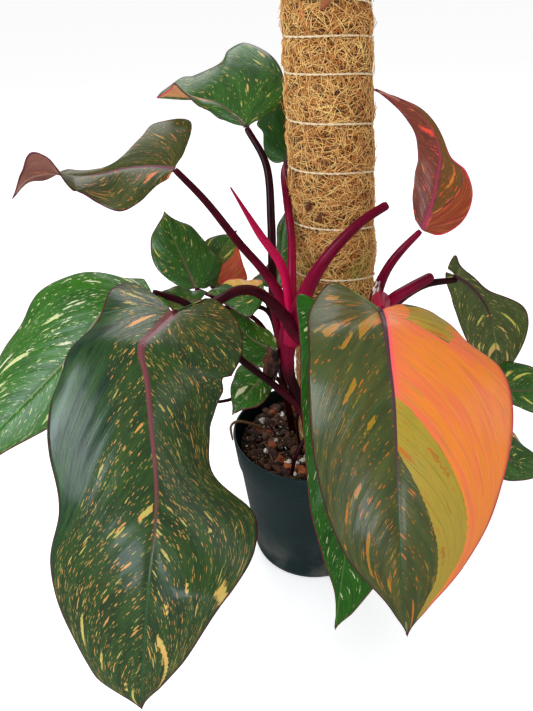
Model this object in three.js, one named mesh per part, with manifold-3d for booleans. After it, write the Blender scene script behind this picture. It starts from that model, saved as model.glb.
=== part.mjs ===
// Variegated orange princess philodendron in a nursery pot, with a coir climbing pole.
// Millimetres, +Z up, origin at the middle of the pot's flat base. The viewer stands on the -Y side.
import * as THREE from 'three';
import { mergeVertices } from 'three/addons/utils/BufferGeometryUtils.js';
import Module from 'manifold-3d';

const wasm = await Module();
wasm.setup();

// Driving dimensions.
const GAP = 0.3; // air between two pieces that touch on the real plant

const POT_HEIGHT = 110;
const POT_RIM_RADIUS = 60;
const POT_BASE_RADIUS = 46;
const POT_WALL = 1.3;
const POT_LIP_HEIGHT = 23; // the smooth band below the rim
const POT_LIP_STEP = 1.2; // how far the band stands out over the wall below it
const POT_LIP_TAPER = 2.5;
const POT_FOOT_BAND = 5;
const POT_EDGE = 0.4; // the small roundings of the rim and the foot band
const POT_SIDES = 44;
const DRAIN_HOLES = 8;
const DRAIN_RADIUS = 4;
const DRAIN_CIRCLE = 33;

const SOIL_TOP = 98;
const SOIL_SIDES = 30;
const SOIL_LUMPS = 44;
const LUMP_SIZE = 3.8;
const GOLDEN_ANGLE = Math.PI * (3 - Math.sqrt(5)); // spreads the lumps evenly

const POLE_FOOT = new THREE.Vector3(19, 4, 98); // where the pole's axis leaves the soil
const POLE_TOP = new THREE.Vector3(9, 50, 430);
const STAKE_RADIUS = 10;
const STAKE_DEPTH = 82; // how deep the stake stands in the soil
const STAKE_PROUD = 4; // how far the stake shows at the pole's top
const SLEEVE_RADIUS_FOOT = 27.4; // at the bottom of the grooves
const SLEEVE_RADIUS_TOP = 25.2;
const SLEEVE_BULGE = 1.5; // how far the coir swells between two turns of twine
const SLEEVE_DEPTH = 12; // how deep the sleeve stands in the soil
const SLEEVE_COLUMNS = 18;
const TWINE_RADIUS = 0.75;
const TWINE_SIDES = 4;
const TWINE_LEVELS = [3, 28, 60, 94, 128, 161, 197, 226, 255, 276, 293, 327]; // at the pole's right side
const TWINE_SLOW = 0.11; // as a share of a turn: nearly level across the front, steep at the back
const ROWS_PER_TURN = 4;

const PETIOLE_SIDES = 7;
const ROOT_SIDES = 5;
const STEPS_PER_POINT = 1.5;
const ROOT_RADIUS = 2; // a rod thinner than this at its start, in radius, counts as a root

const BLADE_THICKNESS = 0.8;
const RIB_THICKNESS = 2.6; // blade and midrib together, at the leaf's base
const RIB_HALF_WIDTH = 3;
const VEIN_LEAD = 0.25; // share of the margin that the fan of veins at the base reaches
const VEIN_SLANT = 1.15;
const TANGENT_STEP = 0.12; // share of the midrib over which its direction is averaged, each way

// Leaves. rib: the midrib in space, from the petiole to the tip. up: which way the upper face looks, in
// even steps from base to tip. left and right: the flat outline as [along the midrib, out from it], from the
// notch at the petiole round the lobe to the tip, seen from above with the tip ahead. leftFold and rightFold:
// how far that half hangs down, in degrees, in even steps. bulge: how far the half swells, as a share of its
// width.
const FACING_VIEWER = [[0, -0.5, 0.87]];

const LEAVES = {
  leaf_front_left: {
    rib: [[-77, -122, 274], [-83, -140, 275], [-88, -154, 274], [-85, -166, 265], [-83, -180, 251],
      [-81, -200, 227], [-87, -216, 190], [-95, -226, 136], [-96, -228, 124]],
    up: [[0, -0.75, 0.66]],
    left: [[-17, 5], [-31, 9], [-30, 23], [-8, 38], [63, 38], [91, 30], [112, 49], [124, 46], [143, 33],
      [181, 16]],
    leftFold: [12, 30, 52, 40, 6, 0, 0],
    right: [[-15, 28], [5, 31], [19, 28], [40, 36], [55, 45], [76, 46], [110, 42], [137, 44], [163, 37],
      [198, 19]],
    rightFold: [12, 8, 4, 4, 4],
    bulge: 0.07, rows: 15, across: 4,
  },
  leaf_front_orange: {
    rib: [[27, -98, 259], [27, -112, 258], [26.5, -132, 249], [27, -147, 236], [27, -158, 221],
      [28, -174, 185], [31, -186, 142], [34, -190, 118]],
    up: [[0, -0.7, 0.7]],
    left: [[-8, 11], [-5, 27], [20, 41], [38, 56], [62, 59], [87, 55], [117, 47], [146, 32], [165, 14]],
    leftFold: [10, 6, 4, 4],
    right: [[-17, 11], [-33, 23], [-9, 37], [27, 39], [65, 41], [106, 36], [137, 25], [162, 8]],
    rightFold: [10, 12, 12, 12],
    bulge: 0.06, rows: 14, across: 4,
  },
  leaf_front_green: {
    rib: [[3, -76, 249], [6, -92, 235], [7, -110, 211], [8, -128, 178], [8, -140, 137], [4, -148, 98],
      [2, -150, 73]],
    up: [[0, -0.75, 0.66]],
    left: [[-3, 13], [10, 25], [42, 30], [80, 30], [121, 28], [154, 22], [184, 8]],
    leftFold: [4],
    right: [[-8, 7], [-13, 16], [5, 19], [41, 22], [72, 22], [114, 20], [143, 13], [169, 3]],
    rightFold: [4],
    bulge: 0.04, rows: 11, across: 3,
  },
  leaf_far_left: {
    rib: [[-97, -60, 256], [-119, -70, 254], [-138, -84, 235], [-159, -95, 217], [-183, -104, 197],
      [-216, -112, 165]],
    up: [[0.05, -0.45, 0.9]],
    left: [[-8, 10], [18, 22], [55, 26], [95, 21], [127, 12], [151, 8]],
    leftFold: [14, 10, 8],
    right: [[0, 13], [9, 20], [28, 39], [45, 50], [81, 45], [96, 41], [130, 22]],
    rightFold: [14, 10, 8],
    bulge: 0.06, rows: 12, across: 4,
  },
  leaf_upper_left: {
    rib: [[-86, 10, 306], [-100, 6, 309], [-114, 0, 310], [-128, -6, 309], [-141, -12, 310],
      [-155, -16, 314], [-168, -18, 311], [-179, -20, 300]],
    up: [[0, -0.54, 0.84], [0, -0.54, 0.84], [0, -0.54, 0.84], [0, -0.54, 0.84], [0, -0.54, 0.84],
      [0, -0.54, 0.84], [0, -0.3, 0.95], [0, 0.5, 0.85], [0, 0.8, 0.5], [0, 0.85, 0.4], [0, 0.85, 0.4]],
    left: [[3, 7], [12, 14], [25, 25], [43, 31], [53, 20], [60, 16], [71, 26], [77, 24], [88, 6]],
    leftFold: [0],
    right: [[-8, 15], [-14, 42], [7, 38], [17, 23], [35, 6], [50, 5], [75, 9], [90, 2]],
    rightFold: [0],
    bulge: 0.04, rows: 16, across: 3,
  },
  leaf_top_left: {
    rib: [[-41, 40, 323], [-50, 48, 330], [-59, 56, 335], [-69, 62, 337], [-84, 66, 337], [-100, 68, 338]],
    up: [[0, -0.6, 0.8], [0, -0.6, 0.8], [0, -0.6, 0.8], [0, -0.35, 0.93], [0, -0.25, 0.95]],
    left: [[7, 4], [20, 8], [32, 9], [43, 15], [52, 17], [61, 9]],
    leftFold: [40, 30, 0, -40, -70, -80],
    right: [[-2, 8], [-1, 31], [14, 46], [27, 53], [35, 54], [39, 47], [40, 35], [50, 27], [60, 23],
      [67, 14]],
    rightFold: [0, 0, 0, 0, -10],
    bulge: 0.05, rows: 12, across: 4,
  },
  leaf_behind_pole: {
    rib: [[-14, 66, 293], [-13, 78, 306], [-9, 88, 322], [-1, 98, 340]],
    up: [[-0.4, -0.5, 0.8]],
    left: [[0, 9], [9, 17], [22, 20], [28, 27], [37, 21], [51, 12]],
    leftFold: [0],
    right: [[-3, 9], [5, 20], [32, 20], [52, 10]],
    rightFold: [-6],
    bulge: 0.03, rows: 8, across: 3,
  },
  leaf_small_green: {
    rib: [[-81, 20, 220], [-87, 30, 232], [-94, 42, 244], [-99, 52, 255], [-102, 58, 263]],
    up: FACING_VIEWER,
    left: [[0, 5], [8, 12], [23, 19], [38, 18], [51, 11]],
    leftFold: [8],
    right: [[-3, 7], [2, 18], [11, 25], [23, 22], [32, 20], [45, 15], [56, 5]],
    rightFold: [8],
    bulge: 0.04, rows: 9, across: 3,
  },
  leaf_small_coral: {
    rib: [[-71, 45, 207], [-69, 55, 219], [-63, 66, 230], [-52, 76, 240]],
    up: FACING_VIEWER,
    left: [[6, 8], [18, 14], [31, 16], [42, 8]],
    leftFold: [8],
    right: [[2, 15], [10, 25], [27, 19], [41, 10]],
    rightFold: [8],
    bulge: 0.04, rows: 8, across: 3,
  },
  leaf_small_yellow: {
    rib: [[-33, -2, 226], [-43, 2, 224], [-56, 8, 221], [-73, 14, 218]],
    up: FACING_VIEWER,
    left: [[0, 7], [7, 19], [19, 14], [31, 7]],
    leftFold: [8],
    right: [[5, 10], [17, 12], [34, 12], [42, 5]],
    rightFold: [8],
    bulge: 0.04, rows: 8, across: 3,
  },
  leaf_small_back: {
    rib: [[-24, 45, 206], [-21, 54, 222], [-18, 64, 239], [-14, 72, 258]],
    up: FACING_VIEWER,
    left: [[0, 11], [3, 19], [11, 12], [27, 4], [47, 5]],
    leftFold: [8],
    right: [[1, 12], [11, 18], [30, 17], [50, 8]],
    rightFold: [4],
    bulge: 0.04, rows: 8, across: 3,
  },
  leaf_small_left: {
    rib: [[-76, 0, 220], [-86, -3, 223], [-95, -6, 227], [-103, -10, 232]],
    up: FACING_VIEWER,
    left: [[3, 6], [16, 11], [27, 5]],
    leftFold: [8],
    right: [[-5, 8], [4, 9], [14, 10], [24, 6]],
    rightFold: [8],
    bulge: 0.04, rows: 7, across: 3,
  },
  leaf_small_middle: {
    rib: [[-26, -6, 183], [-39, -2, 187], [-51, 4, 196], [-66, 12, 214]],
    up: FACING_VIEWER,
    left: [[-5, 11], [7, 16], [20, 14], [39, 8]],
    leftFold: [8],
    right: [[2, 8], [10, 13], [30, 11], [42, 6]],
    rightFold: [8],
    bulge: 0.04, rows: 8, across: 3,
  },
  leaf_small_rim: {
    rib: [[-35, -12, 166], [-42, -20, 163], [-49, -28, 159], [-58, -34, 149]],
    up: FACING_VIEWER,
    left: [[-1, 7], [6, 11], [18, 12], [28, 7]],
    leftFold: [8],
    right: [[-4, 10], [2, 19], [15, 16], [32, 7]],
    rightFold: [8],
    bulge: 0.04, rows: 8, across: 3,
  },
  leaf_new_red: {
    rib: [[61, -30, 276], [67, -26, 292], [70, -20, 305], [72, -14, 315], [68, -6, 328], [58, 0, 338],
      [47, 6, 344], [35, 10, 349]],
    up: [[-0.1, -0.7, 0.7]],
    left: [[1, 3], [12, 10], [28, 13], [51, 12], [70, 8], [87, 4]],
    leftFold: [8],
    right: [[1, 11], [10, 20], [26, 22], [36, 16], [44, 6], [65, 4], [85, 2]],
    rightFold: [8],
    bulge: -0.03, rows: 13, across: 3,
  },
  leaf_right_turned: {
    rib: [[100, 22, 222], [113, 27, 212], [126, 32, 196], [134, 36, 181], [142, 40, 158], [148, 42, 124]],
    up: [[0.2, 0.9, 0.4]],
    left: [[-8, 1], [1, 9], [33, 21], [76, 21], [103, 10]],
    leftFold: [10],
    right: [[-9, 1], [-15, 6], [-22, 17], [-9, 11], [3, 8], [28, 9], [47, 25], [62, 26], [84, 20], [107, 9]],
    rightFold: [10],
    bulge: 0.04, rows: 15, across: 3,
  },
  leaf_right_middle: {
    rib: [[129, -2, 142], [144, 0, 138], [161, 2, 136], [179, 2, 132], [196, 0, 126]],
    up: FACING_VIEWER,
    left: [[5, 13], [18, 26], [28, 26], [38, 22], [55, 12]],
    leftFold: [8],
    right: [[2, 9], [17, 11], [30, 17], [54, 13]],
    rightFold: [8],
    bulge: 0.04, rows: 9, across: 3,
  },
  leaf_right_low: {
    rib: [[122, -26, 110], [138, -24, 97], [155, -22, 86], [177, -22, 76]],
    up: FACING_VIEWER,
    left: [[6, 17], [30, 26], [42, 18], [56, 9]],
    leftFold: [8],
    right: [[1, 16], [24, 17], [41, 12], [55, 5]],
    rightFold: [8],
    bulge: 0.04, rows: 8, across: 3,
  },
};

// Stems and petioles: each is a smooth rod through its points; radii run in even steps along it.
const LEFT_STEMS = [
  { points: [[9, -35, 72], [6, -35, 98], [-4, -34, 126], [-9, -33, 152], [-18, -30, 177], [-19, -27, 195],
    [-18, -24, 208], [-14, -22, 219]], radii: [5.5, 5.5, 5, 4.5, 4, 3.8, 3.6, 3.6, 4.4, 6.6, 4.6] },
  { points: [[-9, -31, 204], [-14, -33, 211], [-21, -37, 225], [-30, -44, 240], [-38, -52, 250],
    [-45, -64, 257], [-51, -78, 262], [-60, -94, 264], [-69.5, -108, 266.4], [-77.4, -119.4, 270.3]],
    radii: [4.6, 4.4, 3.7, 3.3, 3.1, 3, 2.8, 2.6, 2.6, 2.4] },
  { points: [[-6, -33, 140], [-12, -33, 153], [-31, -36, 176], [-49, -44, 199], [-63, -52, 225],
    [-79, -58, 247], [-96.5, -60, 255.6]], radii: [3, 2.6, 2.3, 2.2, 2.2, 2.2, 2] },
  { points: [[-18, -23, 208], [-23, -19, 230], [-33, -12, 245], [-47, -4, 260], [-68, 4, 287],
    [-85.6, 9.8, 305.4]],
    radii: [5, 3.4, 2.8, 2.6, 2.3, 2] },
  { points: [[-16, -23, 214], [-21, -21, 250], [-35, -18, 273], [-51, -12, 300]],
    radii: [3.4, 3.1, 2.4, 0.5] },
  { points: [[-21, -24, 190], [-27, -12, 223], [-27, 2, 257], [-27, 8, 271], [-29, 26, 302],
    [-40.6, 39.6, 322]],
    radii: [3.6, 3, 2.8, 2.7, 2.5, 2] },
  { points: [[-16, -23, 213], [-14.8, -8, 243], [-14.3, 4, 260], [-16.2, 22, 280], [-17, 44, 290],
    [-14.2, 65.4, 292.6]],
    radii: [4.6, 3, 2.6, 2.6, 2.4, 2] },
  { points: [[-17, -27, 200], [-13, -29, 218], [-7, -33, 240], [2, -36, 259], [12, -36, 272], [25, -34, 284],
    [40, -30, 292]], radii: [6.5, 6.6, 5, 4, 3.3, 2.8, 2.6] },
  { points: [[-15, -24, 200], [-8, -38, 214], [-2, -58, 232], [2.6, -74.6, 247.6]],
    radii: [3.4, 2.8, 2.4, 2.2] },
  { points: [[-5, -33, 132], [-14, -38, 118], [-20, -42, 93]], radii: [1.6, 1.4, 1.2] },
  { points: [[-1, -34, 124], [-6, -46, 112], [-4, -52, 92]], radii: [1.5, 1.3, 1.1] },
  { points: [[-16, -31, 172], [-9, -26, 158], [-13, -22, 134], [-9, -20, 92]], radii: [1.1, 1, 1, 1] },
];

const RIGHT_STEMS = [
  { points: [[25, -36, 78], [26, -38, 98], [29, -37, 140], [34, -33, 180], [37, -28, 212], [37, -27, 226]],
    radii: [6, 6, 5.5, 5.5, 6.5, 4.5] },
  { points: [[37, -28, 214], [37, -27, 232], [42, -29, 250], [49, -30, 262], [60.6, -30, 275.2]],
    radii: [4, 4, 3, 2.5, 1.8] },
  { points: [[38, -27, 214], [50, -18, 221], [72, 0, 225], [99.5, 18.2, 219.8]], radii: [4, 3, 2.5, 2] },
  { points: [[38, -28, 216], [47, -26, 228], [58, -20, 232], [75, -10, 236]], radii: [3.8, 3.8, 3.6, 3.2] },
  { points: [[40, -29, 218], [37, -45, 237], [31, -70, 250], [27.6, -95, 257.2]], radii: [5, 5.4, 4.4, 2.6] },
  { points: [[36, -30, 196], [54, -22, 192], [84, -12, 170], [110, -5, 152], [128.4, -2, 142.4]],
    radii: [4, 2.6, 2.4, 2.2, 1.8] },
  { points: [[34, -34, 178], [54, -36, 172], [86, -32, 146], [108, -28, 124], [122.2, -26, 110]],
    radii: [4, 2.6, 2.4, 2.2, 1.8] },
];

const YOUNG_STEMS = [
  { points: [[-14, 14, 74], [-15, 12, 98], [-17, 10, 117], [-21, 4, 147], [-23, 2, 172]],
    radii: [3, 3, 2.8, 2.6, 2.4] },
  { points: [[-21, 5, 145], [-27, 12, 172], [-38, 22, 190], [-60, 26, 204], [-80.6, 20, 219]],
    radii: [2.2, 1.8, 1.7, 1.6, 1.4] },
  { points: [[-22, 2, 165], [-24, 16, 190], [-33, 32, 203], [-50, 42, 206], [-70.8, 44.8, 206.2]],
    radii: [2.2, 1.7, 1.6, 1.5, 1.4] },
  { points: [[-22, 2, 165], [-22, 14, 184], [-23, 32, 196], [-24, 44.6, 205.4]], radii: [2, 1.7, 1.6, 1.4] },
  { points: [[-22, 2, 160], [-25, 15, 186], [-31, 15, 208], [-34, 6, 221], [-33, -1.4, 225.8]],
    radii: [2, 1.7, 1.6, 1.5, 1.3] },
  { points: [[-23, 5, 175], [-32, 11, 205], [-52, 15, 207], [-68, 5, 211], [-75.6, 0.4, 219.4]],
    radii: [1.8, 1.6, 1.6, 1.5, 1.3] },
  { points: [[-22, 3, 158], [-24, -3, 172], [-25.8, -5.6, 182.2]], radii: [2, 1.6, 1.4] },
  { points: [[-20, 5, 140], [-26, -4, 158], [-34.6, -11.6, 165.4]], radii: [2, 1.6, 1.4] },
  { points: [[-21, 4, 146], [-42, 0, 147], [-62, -4, 141], [-84, -10, 143]], radii: [1.6, 1.3, 1.2, 1] },
];

const ROOT_OVER_RIM = {
  points: [[-32, 14, 97], [-44, 12, 106], [-53, 10, 111], [-58.2, 9, 111.9], [-61.8, 7, 109.5], [-61, 3, 99]],
  radii: [1.3, 1.2, 1.1, 1.1, 1, 0.7],
};

const SHEATH = { // the papery, dried leaf sheath at the left stem
  middle: [-29.5, -30, 186], length: 20, width: 13, thickness: 1.2, lean: 0.22, curl: 3.2,
};

const SHEATH_RIGHT = {
  middle: [36, -33, 238], length: 12, width: 4.6, thickness: 0.9, lean: 0.2, curl: 1.5,
};

// Materials.
function material(color, roughness) {
  return new THREE.MeshStandardMaterial({ color, roughness, metalness: 0 });
}

const potPlastic = material(0x27383b, 0.42);
const soilBark = material(0x3a2415, 0.95);
const stakeWood = material(0x9b7448, 0.8);
const coirFibre = material(0xb9773a, 0.95);
const twineFibre = material(0xe4d3ae, 0.8);
const stemCrimson = material(0x7d1434, 0.32);
const stemDark = material(0x4a1522, 0.4);
const drySheath = material(0x6b4030, 0.85);
const rootBrown = material(0x6a4528, 0.85);
const leafGreen = material(0x2d5035, 0.38);
const leafBright = material(0x3f8a34, 0.38);
const leafOlive = material(0x5d6034, 0.42);
const leafOrange = material(0xf08a3c, 0.38);
const leafRed = material(0xa8452f, 0.35);
const leafYellow = material(0xb9a72c, 0.4);

const LEAF_MATERIALS = {
  leaf_front_orange: leafOrange, leaf_small_coral: leafOrange, leaf_new_red: leafRed,
  leaf_upper_left: leafOlive, leaf_right_turned: leafOlive, leaf_small_yellow: leafYellow,
  leaf_front_green: leafBright, leaf_far_left: leafBright, leaf_small_left: leafYellow,
  leaf_small_middle: leafBright, leaf_small_rim: leafBright, leaf_small_back: leafBright,
};

// Solid helpers.
function randomSource(seed) {
  let state = seed;
  return () => {
    state = (state * 1664525 + 1013904223) % 4294967296;
    return state / 4294967296;
  };
}

function weld(geometry) {
  const bare = geometry.clone();
  bare.deleteAttribute('normal');
  bare.deleteAttribute('uv');
  const merged = mergeVertices(bare, 1e-4);
  const index = merged.getIndex();
  const kept = [];
  for (let i = 0; i < index.count; i += 3) {
    const a = index.getX(i);
    const b = index.getX(i + 1);
    const c = index.getX(i + 2);
    if (a !== b && b !== c && a !== c) kept.push(a, b, c);
  }
  merged.setIndex(kept);
  return merged;
}

function toSolid(geometry) {
  const welded = weld(geometry);
  const mesh = new wasm.Mesh({
    numProp: 3,
    vertProperties: new Float32Array(welded.getAttribute('position').array),
    triVerts: new Uint32Array(welded.getIndex().array),
  });
  return new wasm.Manifold(mesh);
}

function toGeometry(solid) {
  const mesh = solid.getMesh();
  const geometry = new THREE.BufferGeometry();
  geometry.setAttribute('position', new THREE.BufferAttribute(mesh.vertProperties, 3));
  geometry.setIndex(new THREE.BufferAttribute(mesh.triVerts, 1));
  geometry.computeVertexNormals();
  return geometry;
}

function fuse(solids) {
  return solids.reduce((whole, solid) => whole.add(solid));
}

function largestPiece(solid) {
  const pieces = solid.decompose();
  pieces.sort((a, b) => b.volume() - a.volume());
  return pieces[0];
}

function vector(point) {
  return new THREE.Vector3(...point);
}

function listValue(values, share) {
  const place = THREE.MathUtils.clamp(share, 0, 1) * (values.length - 1);
  const below = Math.min(Math.floor(place), values.length - 1);
  const above = Math.min(below + 1, values.length - 1);
  return THREE.MathUtils.lerp(values[below], values[above], place - below);
}

// A closed round rod along a curve, with its radius from a list; grow widens it on all sides.
function rodGeometry(rod, sides, stepsPerPoint, grow = 0) {
  const curve = new THREE.CatmullRomCurve3(rod.points.map(vector), false, 'centripetal');
  const steps = Math.round((rod.points.length - 1) * stepsPerPoint);
  const frames = curve.computeFrenetFrames(steps, false);
  const geometry = new THREE.CylinderGeometry(1, 1, 1, sides, steps);
  const position = geometry.getAttribute('position');
  for (let i = 0; i < position.count; i += 1) {
    const share = position.getY(i) + 0.5;
    const step = Math.round(share * steps);
    const radius = listValue(rod.radii, share) + grow;
    const point = curve.getPointAt(share);
    point.addScaledVector(frames.tangents[step], (share * 2 - 1) * grow);
    point.addScaledVector(frames.normals[step], -position.getX(i) * radius);
    point.addScaledVector(frames.binormals[step], position.getZ(i) * radius);
    position.setXYZ(i, point.x, point.y, point.z);
  }
  return geometry;
}

function rodSolid(rod, sides, stepsPerPoint, grow = 0) {
  return toSolid(rodGeometry(rod, sides, stepsPerPoint, grow));
}

function latheSolid(outline, sides) {
  const points = outline.map(([radius, height]) => new THREE.Vector2(radius, height));
  const geometry = new THREE.LatheGeometry(points, sides);
  geometry.rotateX(Math.PI / 2);
  return toSolid(geometry);
}

// Pot.
function wallRadius(height) {
  const top = POT_RIM_RADIUS - POT_LIP_TAPER - POT_LIP_STEP;
  return THREE.MathUtils.lerp(POT_BASE_RADIUS, top, height / (POT_HEIGHT - POT_LIP_HEIGHT));
}

function potSolid() {
  const lipFoot = POT_HEIGHT - POT_LIP_HEIGHT;
  const lipRadius = POT_RIM_RADIUS - POT_LIP_TAPER;
  const outline = [
    [0, 0],
    [POT_BASE_RADIUS - 1.5, 0],
    [POT_BASE_RADIUS, 1.2],
    [wallRadius(POT_FOOT_BAND) + POT_EDGE, POT_FOOT_BAND],
    [wallRadius(POT_FOOT_BAND + 0.6), POT_FOOT_BAND + 0.6],
    [wallRadius(lipFoot), lipFoot],
    [lipRadius, lipFoot],
    [POT_RIM_RADIUS, POT_HEIGHT - 1.2],
    [POT_RIM_RADIUS - POT_EDGE, POT_HEIGHT],
    [POT_RIM_RADIUS - POT_WALL - POT_EDGE, POT_HEIGHT],
    [POT_RIM_RADIUS - POT_WALL - 0.3, POT_HEIGHT - 1.6],
    [lipRadius - POT_WALL, lipFoot + POT_WALL],
    [wallRadius(lipFoot) - POT_WALL, lipFoot],
    [wallRadius(POT_WALL) - POT_WALL, POT_WALL],
    [0, POT_WALL],
  ];
  let pot = latheSolid(outline, POT_SIDES);
  for (let i = 0; i < DRAIN_HOLES; i += 1) {
    const angle = (i + 0.5) * 2 * Math.PI / DRAIN_HOLES;
    const hole = new THREE.CylinderGeometry(DRAIN_RADIUS, DRAIN_RADIUS, 4 * POT_WALL, 8);
    hole.rotateX(Math.PI / 2);
    hole.translate(DRAIN_CIRCLE * Math.cos(angle), DRAIN_CIRCLE * Math.sin(angle), POT_WALL / 2);
    pot = pot.subtract(toSolid(hole));
  }
  return pot;
}

// Soil: a plug that fills the pot, with bark, clay and pumice lumps standing out of its top.
function soilSolid(holes) {
  const random = randomSource(7);
  const inside = (height) => wallRadius(height) - POT_WALL - GAP;
  const outline = [
    [0, POT_WALL + GAP],
    [inside(POT_WALL + GAP) - 0.5, POT_WALL + GAP],
    [inside(POT_HEIGHT - POT_LIP_HEIGHT) - 0.3, POT_HEIGHT - POT_LIP_HEIGHT],
    [inside(POT_HEIGHT - POT_LIP_HEIGHT) + 0.3, SOIL_TOP - 2],
    [50, SOIL_TOP - 0.4],
    [30, SOIL_TOP],
    [0, SOIL_TOP + 0.6],
  ];
  let soil = latheSolid(outline, SOIL_SIDES);
  for (let i = 0; i < SOIL_LUMPS; i += 1) {
    const angle = i * GOLDEN_ANGLE;
    const reach = 50 * Math.sqrt((i + 0.5) / SOIL_LUMPS);
    const size = LUMP_SIZE * (0.75 + 0.8 * random());
    const lump = new THREE.IcosahedronGeometry(size, 0);
    lump.scale(1, 0.7 + 0.3 * random(), 0.6 + 0.3 * random());
    lump.rotateX(random() * 3);
    lump.rotateZ(random() * 6);
    lump.translate(reach * Math.cos(angle), reach * Math.sin(angle), SOIL_TOP + 0.15 * size);
    soil = soil.add(toSolid(lump));
  }
  return largestPiece(soil.subtract(fuse(holes)));
}

// Climbing pole. Height is measured along its axis, from where it leaves the soil.
const poleLength = POLE_TOP.distanceTo(POLE_FOOT);
const poleTurn = new THREE.Quaternion().setFromUnitVectors(
  new THREE.Vector3(0, 0, 1),
  POLE_TOP.clone().sub(POLE_FOOT).normalize(),
);

function polePoint(radius, angle, height) {
  const point = new THREE.Vector3(radius * Math.cos(angle), radius * Math.sin(angle), height);
  return point.applyQuaternion(poleTurn).add(POLE_FOOT);
}

// How far the twine has climbed down at this angle, as a share of one turn.
function twineDrop(angle) {
  const share = angle / (2 * Math.PI);
  return share + TWINE_SLOW * (1 - Math.cos(2 * Math.PI * share));
}

// The twine's height after so many turns up from its lowest level; it goes on evenly past both ends.
function twineHeight(turns) {
  const below = THREE.MathUtils.clamp(Math.floor(turns), 0, TWINE_LEVELS.length - 2);
  return THREE.MathUtils.lerp(TWINE_LEVELS[below], TWINE_LEVELS[below + 1], turns - below);
}

function grooveRadius(height) {
  return THREE.MathUtils.lerp(SLEEVE_RADIUS_FOOT, SLEEVE_RADIUS_TOP, height / poleLength);
}

function sleeveSolid() {
  const low = -SLEEVE_DEPTH;
  const high = poleLength;
  const rows = ROWS_PER_TURN * (TWINE_LEVELS.length + 2);
  const random = randomSource(23);
  const uneven = Array.from({ length: (rows + 1) * SLEEVE_COLUMNS }, () => 0.8 * random() - 0.4);
  const vertex = (column, row) => {
    const angle = (column % SLEEVE_COLUMNS) * 2 * Math.PI / SLEEVE_COLUMNS;
    const wrapped = column === SLEEVE_COLUMNS ? row - ROWS_PER_TURN : row;
    const turns = wrapped / ROWS_PER_TURN - 1 - twineDrop(angle);
    const height = THREE.MathUtils.clamp(twineHeight(turns), low, high);
    const inside = height > low && height < high;
    const away = inside ? Math.abs(Math.sin(Math.PI * wrapped / ROWS_PER_TURN)) : 0.5;
    const rough = away > 0.2 ? uneven[Math.abs(wrapped) * SLEEVE_COLUMNS + (column % SLEEVE_COLUMNS)] : 0;
    return polePoint(grooveRadius(height) + SLEEVE_BULGE * away + (inside ? rough : 0), angle, height);
  };
  const corners = [];
  const face = (...points) => points.forEach((point) => corners.push(point.x, point.y, point.z));
  for (let column = 0; column < SLEEVE_COLUMNS; column += 1) {
    for (let row = 0; row < rows; row += 1) {
      const a = vertex(column, row);
      const b = vertex(column + 1, row);
      const c = vertex(column + 1, row + 1);
      const d = vertex(column, row + 1);
      face(a, b, c);
      face(a, c, d);
    }
    const angle = column * 2 * Math.PI / SLEEVE_COLUMNS;
    const next = (column + 1) % SLEEVE_COLUMNS * 2 * Math.PI / SLEEVE_COLUMNS;
    const bottom = [polePoint(STAKE_RADIUS + GAP, angle, low), polePoint(STAKE_RADIUS + GAP, next, low)];
    const top = [polePoint(STAKE_RADIUS + GAP, angle, high), polePoint(STAKE_RADIUS + GAP, next, high)];
    const outerBottom = [vertex(column, 0), vertex(column + 1, 0)];
    const outerTop = [vertex(column, rows), vertex(column + 1, rows)];
    face(outerBottom[0], bottom[1], outerBottom[1]);
    face(outerBottom[0], bottom[0], bottom[1]);
    face(outerTop[0], outerTop[1], top[1]);
    face(outerTop[0], top[1], top[0]);
    face(bottom[0], top[0], top[1]);
    face(bottom[0], top[1], bottom[1]);
  }
  const geometry = new THREE.BufferGeometry();
  geometry.setAttribute('position', new THREE.Float32BufferAttribute(corners, 3));
  return toSolid(geometry);
}

function stakeSolid() {
  const foot = -STAKE_DEPTH;
  const top = poleLength + STAKE_PROUD;
  const outline = [[0, foot], [STAKE_RADIUS - 4, foot], [STAKE_RADIUS, foot + 12], [STAKE_RADIUS, top - 1],
    [STAKE_RADIUS - 1, top], [0, top]];
  const points = outline.map(([radius, height]) => new THREE.Vector2(radius, height));
  const geometry = new THREE.LatheGeometry(points, SLEEVE_COLUMNS, -Math.PI / 2);
  geometry.rotateX(Math.PI / 2);
  geometry.applyQuaternion(poleTurn);
  geometry.translate(POLE_FOOT.x, POLE_FOOT.y, POLE_FOOT.z);
  return toSolid(geometry);
}

function twineSolid() {
  const turns = TWINE_LEVELS.length - 1;
  const points = [];
  for (let step = 0; step <= turns * SLEEVE_COLUMNS; step += 1) {
    const column = step % SLEEVE_COLUMNS;
    const angle = column * 2 * Math.PI / SLEEVE_COLUMNS;
    const whole = (step - column) / SLEEVE_COLUMNS;
    const height = twineHeight(turns - whole - twineDrop(angle));
    points.push(polePoint(grooveRadius(height) + GAP + TWINE_RADIUS, angle, height));
  }
  return toSolid(steppedRod(points, TWINE_RADIUS, TWINE_SIDES));
}

// A closed rod whose corners lie exactly at the given points.
function steppedRod(points, radius, sides) {
  const steps = points.length - 1;
  const geometry = new THREE.CylinderGeometry(1, 1, 1, sides, steps);
  const position = geometry.getAttribute('position');
  const axis = POLE_TOP.clone().sub(POLE_FOOT).normalize();
  for (let i = 0; i < position.count; i += 1) {
    const step = Math.round((position.getY(i) + 0.5) * steps);
    const before = points[Math.max(step - 1, 0)];
    const after = points[Math.min(step + 1, steps)];
    const along = after.clone().sub(before).normalize();
    const out = along.clone().cross(axis).normalize();
    const lift = out.clone().cross(along);
    const point = points[step].clone();
    point.addScaledVector(out, position.getX(i) * radius);
    point.addScaledVector(lift, position.getZ(i) * radius);
    position.setXYZ(i, point.x, point.y, point.z);
  }
  return geometry;
}

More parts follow.
